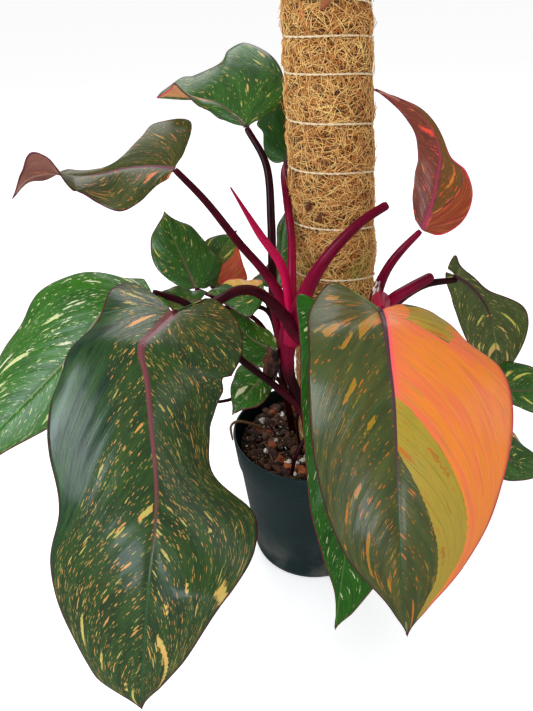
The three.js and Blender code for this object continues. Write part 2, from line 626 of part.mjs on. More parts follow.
// Leaf blades. A blade is a fan of veins: each row of the net runs from the midrib to the margin.
function leafShape(leaf) {
  const curve = new THREE.CatmullRomCurve3(leaf.rib.map(vector), false, 'centripetal');
  curve.arcLengthDivisions = 400;
  const length = curve.getLength();
  const frame = (along) => {
    const share = THREE.MathUtils.clamp(along / length, 0, 1);
    const ahead = curve.getPointAt(Math.min(share + TANGENT_STEP, 1));
    const behind = curve.getPointAt(Math.max(share - TANGENT_STEP, 0));
    const tangent = ahead.sub(behind).normalize();
    const up = new THREE.Vector3(
      listValue(leaf.up.map((u) => u[0]), share),
      listValue(leaf.up.map((u) => u[1]), share),
      listValue(leaf.up.map((u) => u[2]), share),
    );
    const normal = up.addScaledVector(tangent, -up.dot(tangent)).normalize();
    const right = tangent.clone().cross(normal);
    const point = curve.getPointAt(share).addScaledVector(tangent, along - share * length);
    return { point, normal, right, share };
  };
  const place = (along, out, side, lift) => {
    const { point, normal, right, share } = frame(along);
    const folds = side < 0 ? leaf.leftFold : leaf.rightFold;
    const fold = THREE.MathUtils.degToRad(listValue(folds, share));
    const outward = right.clone().multiplyScalar(side * Math.cos(fold));
    outward.addScaledVector(normal, -Math.sin(fold));
    const face = normal.clone().multiplyScalar(Math.cos(fold)).addScaledVector(right, side * Math.sin(fold));
    if (out === 0) face.copy(normal);
    return point.addScaledVector(outward, out).addScaledVector(face, lift);
  };
  return { length, place };
}

function marginCurve(outline, length) {
  const points = [[0, 0], ...outline, [length, 0]].map(([along, out]) => new THREE.Vector3(along, out, 0));
  return new THREE.CatmullRomCurve3(points, false, 'centripetal');
}

function bladeGeometry(leaf, grow = 0) {
  const { length, place } = leafShape(leaf);
  const corners = [];
  const face = (...points) => points.forEach((point) => corners.push(point.x, point.y, point.z));
  for (const side of [-1, 1]) {
    const margin = marginCurve(side < 0 ? leaf.left : leaf.right, length);
    const top = [];
    const bottom = [];
    for (let row = 1; row <= leaf.rows; row += 1) {
      const share = row / leaf.rows;
      const atTip = row === leaf.rows;
      const end = margin.getPointAt(share);
      const heading = margin.getTangentAt(share);
      end.add(new THREE.Vector3(-heading.y, heading.x, 0).multiplyScalar(grow));
      if (atTip) end.set(length + grow, 0, 0);
      const reached = length * Math.max((share - VEIN_LEAD) / (1 - VEIN_LEAD), 0) ** VEIN_SLANT;
      const start = atTip ? end.x : reached;
      const ribStart = row === 1 ? -grow : start;
      const reach = Math.hypot(end.x - ribStart, end.y);
      const bulge = leaf.bulge * end.y * 4;
      const first = atTip ? 0 : Math.min(0.33, RIB_HALF_WIDTH / reach);
      const ribThickness = THREE.MathUtils.lerp(RIB_THICKNESS, BLADE_THICKNESS + 0.3, start / length);
      const topRow = [];
      const bottomRow = [];
      for (let step = 0; step <= leaf.across; step += 1) {
        const v = step === 0 ? 0 : THREE.MathUtils.lerp(first, 1, (step - 1) / (leaf.across - 1));
        const along = THREE.MathUtils.lerp(ribStart, end.x, v);
        const out = end.y * v;
        const lift = bulge * v * (1 - v);
        const thickness = step === 0 || atTip ? ribThickness : BLADE_THICKNESS;
        topRow.push(place(along, out, side, lift + grow));
        bottomRow.push(place(along, out, side, lift - thickness - grow));
      }
      top.push(topRow);
      bottom.push(bottomRow);
    }
    const turn = (a, b, c) => (side < 0 ? face(a, c, b) : face(a, b, c));
    for (let step = 0; step < leaf.across; step += 1) {
      turn(top[0][step], bottom[0][step], top[0][step + 1]);
      turn(top[0][step + 1], bottom[0][step], bottom[0][step + 1]);
    }
    for (let row = 0; row < leaf.rows - 1; row += 1) {
      for (let step = 0; step < leaf.across; step += 1) {
        turn(top[row][step], top[row][step + 1], top[row + 1][step]);
        turn(top[row][step + 1], top[row + 1][step + 1], top[row + 1][step]);
        turn(bottom[row][step], bottom[row + 1][step], bottom[row][step + 1]);
        turn(bottom[row][step + 1], bottom[row + 1][step], bottom[row + 1][step + 1]);
      }
      const edge = leaf.across;
      turn(top[row][edge], bottom[row][edge], bottom[row + 1][edge]);
      turn(top[row][edge], bottom[row + 1][edge], top[row + 1][edge]);
    }
  }
  const geometry = new THREE.BufferGeometry();
  geometry.setAttribute('position', new THREE.Float32BufferAttribute(corners, 3));
  return geometry;
}

// A torn, curled scrap of dry sheath.
function sheathSolid(sheath) {
  const geometry = new THREE.BoxGeometry(sheath.width, sheath.thickness, sheath.length, 4, 1, 5);
  const position = geometry.getAttribute('position');
  for (let i = 0; i < position.count; i += 1) {
    const across = position.getX(i) / sheath.width;
    const height = position.getZ(i) / sheath.length;
    const narrow = 1 - 0.8 * height * height - 0.25 * Math.sin(9 * height + 5 * across) * across;
    const x = position.getX(i) * narrow + sheath.lean * position.getZ(i);
    const y = position.getY(i) + sheath.curl * (4 * across * across + Math.sin(4 * height));
    position.setXYZ(i, x + sheath.middle[0], y + sheath.middle[1], position.getZ(i) + sheath.middle[2]);
  }
  return toSolid(geometry);
}

// Assembly.
const group = new THREE.Group();

function addPiece(name, solid, pieceMaterial) {
  const mesh = new THREE.Mesh(toGeometry(solid), pieceMaterial);
  mesh.name = name;
  group.add(mesh);
}

function stemSolid(rods, grow = 0) {
  const sides = (rod) => (rod.radii[0] > ROOT_RADIUS ? PETIOLE_SIDES : ROOT_SIDES);
  return fuse(rods.map((rod) => rodSolid(rod, sides(rod), STEPS_PER_POINT, grow)));
}

function cutClear(solid, others) {
  return largestPiece(others.reduce((rest, other) => rest.subtract(other), solid));
}

const blades = Object.entries(LEAVES).map(([name, leaf]) => ({
  name,
  solid: toSolid(bladeGeometry(leaf)),
  grown: toSolid(bladeGeometry(leaf, 1.5 * GAP)),
}));
const grownBlades = blades.map((blade) => blade.grown);

const leftStems = cutClear(stemSolid(LEFT_STEMS), grownBlades);
const rightStems = cutClear(stemSolid(RIGHT_STEMS), grownBlades);
const youngStems = cutClear(stemSolid(YOUNG_STEMS), grownBlades.concat(stemSolid(LEFT_STEMS, GAP)));
const leftSheath = cutClear(sheathSolid(SHEATH), [stemSolid(LEFT_STEMS, GAP), ...grownBlades]);
const rightSheath = cutClear(sheathSolid(SHEATH_RIGHT), [stemSolid(RIGHT_STEMS, GAP)]);

const sleeveHole = rodSolid({
  points: [-SLEEVE_DEPTH, 0, 12].map((height) => polePoint(0, 0, height).toArray()),
  radii: [SLEEVE_RADIUS_FOOT + SLEEVE_BULGE + 1, SLEEVE_RADIUS_FOOT + SLEEVE_BULGE + 1],
}, 24, 1, GAP);
const stakeHole = rodSolid({
  points: [-STAKE_DEPTH, 0].map((height) => polePoint(0, 0, height).toArray()),
  radii: [STAKE_RADIUS, STAKE_RADIUS],
}, SLEEVE_COLUMNS, 1, 2 * GAP);
const rootOverRim = rodSolid(ROOT_OVER_RIM, 6, 2);
const holes = [
  sleeveHole, stakeHole, stemSolid(LEFT_STEMS, GAP), stemSolid(RIGHT_STEMS, GAP), stemSolid(YOUNG_STEMS, GAP),
  rodSolid(ROOT_OVER_RIM, 6, 2, GAP),
];

addPiece('pot', potSolid(), potPlastic);
addPiece('soil', soilSolid(holes), soilBark);
addPiece('pole_stake', stakeSolid(), stakeWood);
addPiece('coir_sleeve', sleeveSolid(), coirFibre);
addPiece('twine', twineSolid(), twineFibre);
addPiece('left_plant_stems', leftStems, stemCrimson);
addPiece('right_plant_stems', rightStems, stemCrimson);
addPiece('young_plant_stems', youngStems, stemDark);
addPiece('dry_sheath_left', leftSheath, drySheath);
addPiece('dry_sheath_right', rightSheath, drySheath);
addPiece('root_over_rim', rootOverRim, rootBrown);
for (const blade of blades) {
  addPiece(blade.name, blade.solid, LEAF_MATERIALS[blade.name] ?? leafGreen);
}

export default group;
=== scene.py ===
import math
import random

import bmesh
import bpy
from mathutils import Matrix, Vector, noise


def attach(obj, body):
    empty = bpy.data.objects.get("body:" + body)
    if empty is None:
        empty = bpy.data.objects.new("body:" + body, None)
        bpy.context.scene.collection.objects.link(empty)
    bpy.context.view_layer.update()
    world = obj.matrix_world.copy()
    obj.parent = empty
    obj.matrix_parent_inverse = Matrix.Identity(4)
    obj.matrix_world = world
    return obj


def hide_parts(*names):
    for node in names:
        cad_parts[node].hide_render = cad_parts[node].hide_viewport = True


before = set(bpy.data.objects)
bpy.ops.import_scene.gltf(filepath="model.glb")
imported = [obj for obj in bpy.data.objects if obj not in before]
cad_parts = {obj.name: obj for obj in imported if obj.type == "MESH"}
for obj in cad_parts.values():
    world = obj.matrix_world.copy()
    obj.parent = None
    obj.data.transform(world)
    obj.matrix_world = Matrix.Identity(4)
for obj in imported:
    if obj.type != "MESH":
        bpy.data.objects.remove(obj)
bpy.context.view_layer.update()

# Camera, light and floor. The plant is looked at from above the front of the pot, as in the photograph, in
# the even white light of a studio: a broad soft lamp from the upper left and weaker ones all round.
CAMERA_PLACE = Vector((-0.033, -0.421, 0.428))
CAMERA_DIP = math.radians(31)
CAMERA_ROLL = math.radians(2)
PICTURE_HEIGHT = 711
FOCAL_PIXELS = 700
SENSOR = 36
# Each lamp has its place, what it points at, its size, watts and colour. The sheen lamps only show as gloss.
LAMPS = {
    "lamp_window": ((-1.15, -0.75, 0.95), (-0.08, -0.15, 0.2), 0.8, 12, (0.86, 0.94, 1.0)),
    "lamp_front": ((-0.25, -1.6, 0.08), (-0.02, -0.15, 0.18), 0.36, 4, (0.78, 0.87, 1.0)),
    "lamp_glow": ((-1.35, -0.5, 0.95), (-0.08, -0.15, 0.2), 0.5, 4, (0.8, 0.9, 1.0)),
    "lamp_right": ((1.2, -0.8, 0.9), (0, -0.05, 0.2), 0.9, 3, (1, 1, 1)),
    "lamp_back": ((-0.1, 0.95, 1.25), (-0.05, 0, 0.28), 0.9, 7, (1, 1, 1)),
}
SHEEN_LAMPS = ("lamp_front", "lamp_glow")
SKY_STRENGTH = 1.3
SKY_SPREAD = math.radians(50)
SKY_LEAN = (math.radians(22), math.radians(-14), 0)
SURROUND_LIGHT = 0.28
FLOOR_REACH = 9
FLOOR_DROP = 0.0004
FLOOR_GLOW = 0.42


def paint(code):
    """A linear colour from a mixing code such as 27383b."""
    parts = [int(code[i:i + 2], 16) / 255 for i in (0, 2, 4)]
    return [p / 12.92 if p <= 0.04045 else ((p + 0.055) / 1.055) ** 2.4 for p in parts] + [1]


class Field:
    """A number or colour that changes over a surface: one node's output. Arithmetic on it adds Math nodes."""

    def __init__(self, socket):
        self.socket = socket
        self.tree = socket.id_data

    def other(self, output):
        """Another output of the same node."""
        return Field(self.socket.node.outputs[output])

    def feed(self, socket):
        self.tree.links.new(self.socket, socket)

    def reckon(self, operation, *values):
        return field(self.tree, "ShaderNodeMath", dict(enumerate(values)), operation=operation)

    def held(self):
        """The same sum, kept between 0 and 1."""
        self.socket.node.use_clamp = True
        return self

    def __add__(self, other):
        return self.reckon("ADD", self, other)

    def __sub__(self, other):
        return self.reckon("SUBTRACT", self, other)

    def __rsub__(self, other):
        return self.reckon("SUBTRACT", other, self)

    def __mul__(self, other):
        return self.reckon("MULTIPLY", self, other)

    def __truediv__(self, other):
        return self.reckon("DIVIDE", self, other)

    def __abs__(self):
        return self.reckon("ABSOLUTE", self)

    __radd__ = __add__


def field(tree, kind, sockets=None, output=0, **settings):
    """An output of a new shader node, whose sockets are set to values or joined to other fields."""
    node = tree.nodes.new(kind)
    for key, value in settings.items():
        setattr(node, key, value)
    for key, value in (sockets or {}).items():
        if isinstance(value, Field):
            value.feed(node.inputs[key])
        else:
            node.inputs[key].default_value = value
    return Field(node.outputs[output])


def ranged(value, low, high, first, last):
    """Runs evenly from first to last as the value goes from low to high."""
    return field(value.tree, "ShaderNodeMapRange", {0: value, 1: low, 2: high, 3: first, 4: last})


def new_finish(name, roughness, **settings):
    """A material and its Principled shader; settings are that shader's own sockets."""
    material = bpy.data.materials.new(name)
    material.use_nodes = True
    shader = material.node_tree.nodes["Principled BSDF"]
    shader.inputs["Roughness"].default_value = roughness
    for key, value in settings.items():
        shader.inputs[key.replace("_", " ")].default_value = value
    return material, shader


def stand(name, data):
    """An object of this data, in the scene."""
    thing = bpy.data.objects.new(name, data)
    bpy.context.scene.collection.objects.link(thing)
    return thing


def mesh_of(name, bm):
    data = bpy.data.meshes.new(name)
    bm.to_mesh(data)
    bm.free()
    return data


camera_data = bpy.data.cameras.new("camera")
camera_data.sensor_width = SENSOR
camera_data.lens = SENSOR * FOCAL_PIXELS / PICTURE_HEIGHT
camera_data.clip_start = 0.01
camera = stand("camera", camera_data)
look = Vector((0, math.cos(CAMERA_DIP), -math.sin(CAMERA_DIP)))
level = Vector((1, 0, 0))
upward = Vector((0, math.sin(CAMERA_DIP), math.cos(CAMERA_DIP)))
across = level * math.cos(CAMERA_ROLL) - upward * math.sin(CAMERA_ROLL)
raised = level * math.sin(CAMERA_ROLL) + upward * math.cos(CAMERA_ROLL)
turned = Matrix((across, raised, -look)).transposed().to_4x4()
camera.matrix_world = Matrix.Translation(CAMERA_PLACE) @ turned
bpy.context.scene.camera = camera

for name, (place, aim, size, watts, colour) in LAMPS.items():
    lamp_data = bpy.data.lights.new(name, "AREA")
    lamp_data.size = size
    lamp_data.energy = watts
    lamp_data.color = colour
    lamp = stand(name, lamp_data)
    lamp.location = place
    lamp.rotation_euler = (Vector(aim) - Vector(place)).to_track_quat("-Z", "Y").to_euler()
    lamp.visible_diffuse = name not in SHEEN_LAMPS
sky_data = bpy.data.lights.new("lamp_sky", "SUN")
sky_data.energy = SKY_STRENGTH
sky_data.angle = SKY_SPREAD
sky = stand("lamp_sky", sky_data)
sky.visible_glossy = False
sky.rotation_euler = SKY_LEAN

studio = bpy.data.worlds.new("studio")
studio.use_nodes = True
surround = studio.node_tree.nodes["Background"]
surround.inputs["Color"].default_value = (1, 1, 1, 1)
seen = field(studio.node_tree, "ShaderNodeLightPath", output="Is Camera Ray")
ranged(seen, 0, 1, SURROUND_LIGHT, 1.0).feed(surround.inputs["Strength"])
bpy.context.scene.world = studio
bpy.context.scene.view_settings.view_transform = "Standard"

floor_bm = bmesh.new()
bmesh.ops.create_grid(floor_bm, x_segments=1, y_segments=1, size=FLOOR_REACH)
bmesh.ops.translate(floor_bm, vec=(0, 0, -FLOOR_DROP), verts=floor_bm.verts[:])
floor = stand("floor", mesh_of("floor", floor_bm))
floor_finish, shader = new_finish("pale_floor", 0.6, Base_Color=(0.9, 0.9, 0.9, 1),
                                  Emission_Color=(1, 1, 1, 1), Emission_Strength=FLOOR_GLOW)
floor.data.materials.append(floor_finish)
floor.visible_glossy = False

# Pot: a thin, tapered nursery pot moulded in dark teal grey polypropylene, with a smooth band below its rim
# and drain holes in its base. The plastic is satin, with fine scuffs and a little dust towards the foot.
MM = 0.001
POT_OUTLINE = [(0, 0), (44.5, 0), (46, 1.2), (47.1, 5), (46.6, 5.8), (56.3, 86.6), (57.6, 87.1),
               (60, 108.8), (59.6, 110), (58.3, 110), (58.4, 108.4), (56.2, 88.3), (55, 87), (44.85, 1.3),
               (0, 1.3)]
POT_ROUND = 112
LIP_SOFTNESS = 0.3
DRAIN_HOLES = 8
DRAIN_CIRCLE = 33
DRAIN_RADIUS = 4


def lathe(bm, outline, steps):
    """Turns an outline of (radius, height), in mm, about the upright axis."""
    ring = [bm.verts.new((r * MM, 0, h * MM)) for r, h in outline]
    edges = [bm.edges.new(pair) for pair in zip(ring, ring[1:])]
    bmesh.ops.spin(bm, geom=ring + edges, cent=(0, 0, 0), axis=(0, 0, 1), angle=2 * math.pi, steps=steps,
                   use_merge=True, dvec=(0, 0, 0))
    bmesh.ops.remove_doubles(bm, verts=bm.verts[:], dist=1e-6)
    bmesh.ops.recalc_face_normals(bm, faces=bm.faces[:])


def place_piece(name, bm, finishes, nodes):
    """Makes a finished piece of a bmesh, on the plant's one body, in place of CAD nodes."""
    data = mesh_of(name, bm)
    for finish in finishes:
        data.materials.append(finish)
    for polygon in data.polygons:
        polygon.use_smooth = True
    piece = stand(name, data)
    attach(piece, "root")
    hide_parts(*nodes)
    return piece


def object_place(tree):
    return field(tree, "ShaderNodeTexCoord", output="Object")


def height_of(place):
    return field(place.tree, "ShaderNodeSeparateXYZ", {0: place}, 2)


def stretched(place, scale, turn=(0, 0, 0)):
    """Coordinates turned and scaled along each axis."""
    return field(place.tree, "ShaderNodeMapping", {"Vector": place, "Rotation": turn, "Scale": scale})


def grain(place, scale, detail=3.0, roughness=0.55, distortion=0.0):
    """The value of a Noise texture."""
    return field(place.tree, "ShaderNodeTexNoise", {"Vector": place, "Scale": scale, "Detail": detail,
                                                    "Roughness": roughness, "Distortion": distortion})


def step_between(value, low, high):
    """0 below low, 1 above high, with a soft step between."""
    return field(value.tree, "ShaderNodeMapRange", {0: value, 1: low, 2: high},
                 interpolation_type="SMOOTHSTEP")


def blended(share, first, second):
    """A share of the second colour over the first; each is a field or a mixing code."""
    colours = [paint(c) if isinstance(c, str) else c for c in (first, second)]
    return field(share.tree, "ShaderNodeMix", {0: share, 6: colours[0], 7: colours[1]}, 2, data_type="RGBA")


def cover(shader, colour, height=None, strength=0.0, depth=0.0):
    """Gives a shader its colour and, from a height, its relief."""
    colour.feed(shader.inputs["Base Color"])
    if height:
        relief = {"Height": height, "Strength": strength, "Distance": depth}
        field(height.tree, "ShaderNodeBump", relief).feed(shader.inputs["Normal"])


pot_bm = bmesh.new()
lathe(pot_bm, POT_OUTLINE, POT_ROUND)
sharp = [e for e in pot_bm.edges if len(e.link_faces) == 2 and e.calc_face_angle(0) > 0.5]
bmesh.ops.bevel(pot_bm, geom=sharp, offset=LIP_SOFTNESS * MM, segments=2, profile=0.5, affect="EDGES",
                material=-1, clamp_overlap=True)
pot_finish, shader = new_finish("pot_plastic", 0.36, Specular_IOR_Level=0.2)
place = object_place(shader.id_data)
cloudy = grain(place, 38.0, 4.0)
scuffs = grain(stretched(place, (260, 260, 1400)), 1.0)
dust = step_between(height_of(place), 0.05, 0.0) * step_between(cloudy, 0.4, 0.7)
tint = blended(cloudy, "0d1d1f", "142a2b")
tint = blended(step_between(scuffs, 0.66, 0.74) * 0.25, tint, "5d6b6c")
tint = blended(dust * 0.35, tint, "7c7568")
cover(shader, tint, scuffs, 0.12, 0.0002)
ranged(scuffs, 0.3, 0.8, 0.3, 0.52).feed(shader.inputs["Roughness"])
pot = place_piece("nursery_pot", pot_bm, [pot_finish], ["pot"])

drills = bmesh.new()
for i in range(DRAIN_HOLES):
    angle = (i + 0.5) * 2 * math.pi / DRAIN_HOLES
    spot = Matrix.Translation((DRAIN_CIRCLE * MM * math.cos(angle), DRAIN_CIRCLE * MM * math.sin(angle), 0))
    bmesh.ops.create_cone(drills, segments=24, radius1=DRAIN_RADIUS * MM, radius2=DRAIN_RADIUS * MM,
                          depth=8 * MM, cap_ends=True, matrix=spot)
drill = stand("drills", mesh_of("drills", drills))
cut = pot.modifiers.new("drain_holes", "BOOLEAN")
cut.operation = "DIFFERENCE"
cut.object = drill
bpy.context.view_layer.update()
drilled = bpy.data.meshes.new_from_object(pot.evaluated_get(bpy.context.evaluated_depsgraph_get()))
pot.modifiers.clear()
pot.data = drilled
bpy.data.objects.remove(drill)

# Soil: a coarse aroid mix of bark, coir chunks, burnt clay grains and white pumice, pressed into the pot. A
# lumpy bed fills the pot and the chunks lie on it in a loose layer; each grain keeps its own shade.
# Each clay and pumice grain that shows has its place on the soil and its size, in mm.
SOIL_TOP = 97.2
BED_RADIUS = 54.6
BED_RINGS = 26
LUMPY_ABOVE = 92
POLE_FOOT = Vector((19, 4, 98))
POLE_TOP = Vector((9, 50, 430))
BARK_CHIPS = 430
CRUMBS = 700
CLAY_GRAINS = [(-31, -8, 9), (-25, -23, 8), (-20, -33, 7.5), (-11, -37, 9), (-33, 8, 7), (-2, -45, 7),
               (6, -47, 6), (-41, 12, 6), (-14, 38, 8), (44, -20, 7), (-30, 34, 7)]
PUMICE_GRAINS = [(-20, -28, 5), (-14, -30, 4), (-9, -27, 5.5), (-7, -22, 3.5), (-28, -2, 3), (-36, -14, 3.5),
                 (-16, -41, 3.5), (-3, -37, 3), (-38, 24, 5), (-22, 30, 4), (12, 47, 4), (47, -8, 4),
                 (-1, 40, 4)]
PUMICE_CRUMBS = 130
POLE_CLEARANCE = 30

dice = random.Random(7)
bed_outline = [(0, 1.6), (44, 1.6), (54.4, 86.5), (BED_RADIUS, 93)]
bed_outline += [(BED_RADIUS * (1 - i / BED_RINGS), SOIL_TOP) for i in range(BED_RINGS + 1)]
bed = bmesh.new()
lathe(bed, bed_outline, 96)
for vert in bed.verts:
    if vert.co.z > LUMPY_ABOVE * MM:
        vert.co.z += 0.0022 * noise.noise(vert.co * 240) + 0.0016 * noise.noise(vert.co * 90)


def new_group(name, inputs, outputs):
    """A shader group with named sockets: gives it, its inputs as fields and its output node's sockets."""
    group = bpy.data.node_groups.new(name, "ShaderNodeTree")
    kinds = {"color": "NodeSocketColor", "value": "NodeSocketFloat"}
    for socket, kind, value in inputs:
        made = group.interface.new_socket(name=socket, in_out="INPUT", socket_type=kinds[kind])
        made.default_value = value
    for socket, kind in outputs:
        group.interface.new_socket(name=socket, in_out="OUTPUT", socket_type=kinds[kind])
    entry = group.nodes.new("NodeGroupInput")
    fields = {socket: Field(entry.outputs[socket]) for socket, kind, value in inputs}
    return group, fields, group.nodes.new("NodeGroupOutput").inputs


def attribute(tree, name):
    return field(tree, "ShaderNodeAttribute", output="Fac", attribute_name=name)


soil_group, given, result = new_group("soil_grain", [
    ("Dark", "color", paint("1c1009")), ("Light", "color", paint("5a3820")), ("Coarse", "value", 300.0)],
    [("Color", "color"), ("Height", "value")])
place = object_place(soil_group)
speckle = grain(place, given["Coarse"], 5.0, 0.65)
fibre = grain(stretched(place, (5, 1, 1), (0.5, 0.9, 0.3)), 340.0, 2.0)
shade = attribute(soil_group, "tone") * 0.6 + speckle * 0.7 + fibre * 0.25
blended(step_between(shade, 0.35, 1.15), given["Dark"], given["Light"]).feed(result["Color"])
(speckle + fibre).feed(result["Height"])


def soil_finish(name, dark, light, coarse, roughness, relief):
    """One kind of grain in the soil, from its darkest and lightest shade."""
    material, shader = new_finish(name, roughness)
    values = {"Dark": paint(dark), "Light": paint(light), "Coarse": coarse}
    colour = field(shader.id_data, "ShaderNodeGroup", values, node_tree=soil_group)
    cover(shader, colour, colour.other("Height"), relief, 0.0008)
    return material


# The bed shows only between the chips. Its near-black is partly its own dark colour and partly painted shade
# in those gaps.
bed_finish = soil_finish("soil_bed", "0d0704", "3b2414", 420.0, 0.95, 0.8)
bark_finish = soil_finish("bark_chips", "120a07", "644030", 380.0, 0.85, 0.7)
clay_finish = soil_finish("clay_grains", "6e2e16", "b86638", 700.0, 0.9, 0.5)
pumice_finish = soil_finish("pumice_grains", "b9b0a2", "f5f1e8", 900.0, 0.95, 0.6)


def gather(bm, part):
    """Adds a small finished part to a larger bmesh."""
    data = mesh_of("part", part)
    bm.from_mesh(data)
    bpy.data.meshes.remove(data)


def lay_grain(layer, size, flat, spot, rough, detail):
    """One grain: a lumpy ball, flattened and turned, lying at spot, with a shade of its own."""
    bm = soil_layer()
    made = bmesh.ops.create_icosphere(bm, subdivisions=detail, radius=1)["verts"]
    seed = Vector((dice.random(), dice.random(), dice.random())) * 50
    for vert in made:
        vert.co *= 1 + rough * noise.noise(vert.co * 1.3 + seed)
    bmesh.ops.scale(bm, vec=[size * MM * f / 2 for f in flat], verts=made)
    for axis in "XYZ":
        turn = Matrix.Rotation(dice.random() * (0.9 if axis != "Z" else 6.3), 3, axis)
        bmesh.ops.rotate(bm, matrix=turn, verts=made)
    bmesh.ops.translate(bm, vec=Vector(spot) * MM, verts=made)
    tone = bm.verts.layers.float["tone"]
    shade = dice.random()
    for vert in made:
        vert[tone] = shade
    gather(layer, bm)


def soil_spot(reach):
    """A random spot on the soil, clear of the pole."""
    while True:
        angle = dice.random() * 2 * math.pi
        radius = reach * math.sqrt(dice.random())
        spot = Vector((radius * math.cos(angle), radius * math.sin(angle)))
        if (spot - POLE_FOOT.xy).length > POLE_CLEARANCE:
            return spot


def soil_layer():
    """An empty bmesh whose points keep the shade of their grain."""
    bm = bmesh.new()
    bm.verts.layers.float.new("tone")
    return bm


bark = soil_layer()
for i in range(BARK_CHIPS):
    spot = soil_spot(51)
    size = dice.uniform(4, 10)
    flat = (1, dice.uniform(0.45, 0.9), dice.uniform(0.25, 0.6))
    lay_grain(bark, size, flat, (*spot, SOIL_TOP + dice.uniform(0.2, 3.6)), 0.7, 2)
for i in range(CRUMBS):
    spot = soil_spot(53)
    lay_grain(bark, dice.uniform(1.2, 3.4), (1, 0.8, 0.6), (*spot, SOIL_TOP + dice.uniform(0.5, 4)), 0.5, 1)
clay = soil_layer()
for x, y, size in CLAY_GRAINS:
    lay_grain(clay, size, (1, 0.85, 0.75), (x, y, SOIL_TOP + 3.4), 0.6, 3)
pumice = soil_layer()
for x, y, size in PUMICE_GRAINS:
    lay_grain(pumice, size, (1, 0.8, 0.7), (x, y, SOIL_TOP + 4.2), 0.95, 3)
for i in range(PUMICE_CRUMBS):
    spot = soil_spot(52)
    lay_grain(pumice, dice.uniform(0.6, 1.9), (1, 0.8, 0.6), (*spot, SOIL_TOP + dice.uniform(2.5, 5)), 0.4, 1)
place_piece("soil_bed", bed, [bed_finish], ["soil"])
place_piece("soil_bark", bark, [bark_finish], ["soil"])
place_piece("soil_clay", clay, [clay_finish], ["soil"])
place_piece("soil_pumice", pumice, [pumice_finish], ["soil"])

# Climbing pole: a wooden stake in a thick sleeve of felted coconut fibre. Rubberised fibre is rolled round
# the stake and bound with a spiral of pale twine, so it swells between the turns; loose hairs stand off it.
pole_axis = (POLE_TOP - POLE_FOOT).normalized()
pole_length = (POLE_TOP - POLE_FOOT).length
pole_turn = Vector((0, 0, 1)).rotation_difference(pole_axis)
SLEEVE_FOOT = 27.4
SLEEVE_HEAD = 25.2
SLEEVE_MIDDLE = 26
SLEEVE_BULGE = 1.5
SLEEVE_DEPTH = 12
SLEEVE_ROUND = 150
SLEEVE_ROWS = 240
END_ROWS = 4
STAKE_RADIUS = 10
STAKE_PROUD = 4
TWINE_LEVELS = [3, 28, 60, 94, 128, 161, 197, 226, 255, 276, 293, 327]
TWINE_SLOW = 0.11
TWINE_RADIUS = 0.75
TWINE_PROUD = 0.55
STRAND_RADIUS = 0.4
STRAND_SWING = 0.33


def pole_point(radius, angle, height):
    """A point round the pole, in mm; height is measured along the pole from the soil."""
    return pole_turn @ Vector((radius * math.cos(angle), radius * math.sin(angle), height)) + POLE_FOOT


def twine_drop(angle):
    """How far the twine has climbed down at this angle, as a share of one turn."""
    share = angle / (2 * math.pi)
    return share + TWINE_SLOW * (1 - math.cos(2 * math.pi * share))


def twine_height(turns):
    """The twine's height after so many turns up from its lowest level; it goes on evenly past both ends."""
    below = min(max(math.floor(turns), 0), len(TWINE_LEVELS) - 2)
    low, high = TWINE_LEVELS[below:below + 2]
    return low + (high - low) * (turns - below)


def twine_turns(height):
    """How many turns of twine lie below this height at the pole's right side."""
    below = max([0] + [i for i, level in enumerate(TWINE_LEVELS[:-1]) if level <= height])
    low, high = TWINE_LEVELS[below:below + 2]
    return below + (height - low) / (high - low)


def groove_radius(height):
    return SLEEVE_FOOT + (SLEEVE_HEAD - SLEEVE_FOOT) * height / pole_length


def sleeve_radius(angle, height):
    """The felt's surface: it swells between two turns of twine and is lumpy."""
    angle %= 2 * math.pi
    phase = twine_turns(height) + twine_drop(angle)
    swell = SLEEVE_BULGE * abs(math.sin(math.pi * phase)) ** 0.7
    spot = pole_point(SLEEVE_MIDDLE, angle, height)
    lumps = 1.1 * noise.noise(spot * 0.09) + 0.6 * noise.noise(spot * 0.3) + 0.35 * noise.noise(spot * 0.9)
    return groove_radius(height) + swell + lumps


sleeve = bmesh.new()
all_rows = SLEEVE_ROWS + 2 * END_ROWS
bmesh.ops.create_grid(sleeve, x_segments=SLEEVE_ROUND, y_segments=all_rows, size=1)
for vert in sleeve.verts:
    angle = (vert.co.x + 1) * math.pi
    row = round((vert.co.y + 1) / 2 * all_rows) - END_ROWS
    height = -SLEEVE_DEPTH + (pole_length + SLEEVE_DEPTH) * min(max(row / SLEEVE_ROWS, 0), 1)
    beyond = max(-row, row - SLEEVE_ROWS, 0) / END_ROWS
    radius = sleeve_radius(angle, height)
    spot = Vector((8 * math.cos(angle), 8 * math.sin(angle), beyond * 9))
    rough = 0.6 * noise.noise(spot) if 0 < beyond < 1 else 0
    dome = 0.8 * math.sin(beyond * 3.1) if row > 0 else 0
    radius += (STAKE_RADIUS + 0.3 - radius) * beyond
    vert.co = pole_point(radius, angle, height + rough + dome) * MM
bmesh.ops.remove_doubles(sleeve, verts=sleeve.verts[:], dist=1e-6)
bmesh.ops.bridge_loops(sleeve, edges=[e for e in sleeve.edges if e.is_boundary])
bmesh.ops.recalc_face_normals(sleeve, faces=sleeve.faces[:])


def larger(first, second):
    return first.reckon("MAXIMUM", first, second)


coir_group, given, result = new_group("coir_threads", [("Seed", "value", 0.0), ("Scale", "value", 200.0)],
                                      [("Thread", "value")])
offset = field(coir_group, "ShaderNodeCombineXYZ", {axis: given["Seed"] for axis in range(3)})
moved = field(coir_group, "ShaderNodeVectorMath", {0: object_place(coir_group), 1: offset}, operation="ADD")
swirl = grain(moved, given["Scale"], 1.0, 0.4, 1.2)
step_between(abs(swirl - 0.5), 0.035, 0.0).feed(result["Thread"])

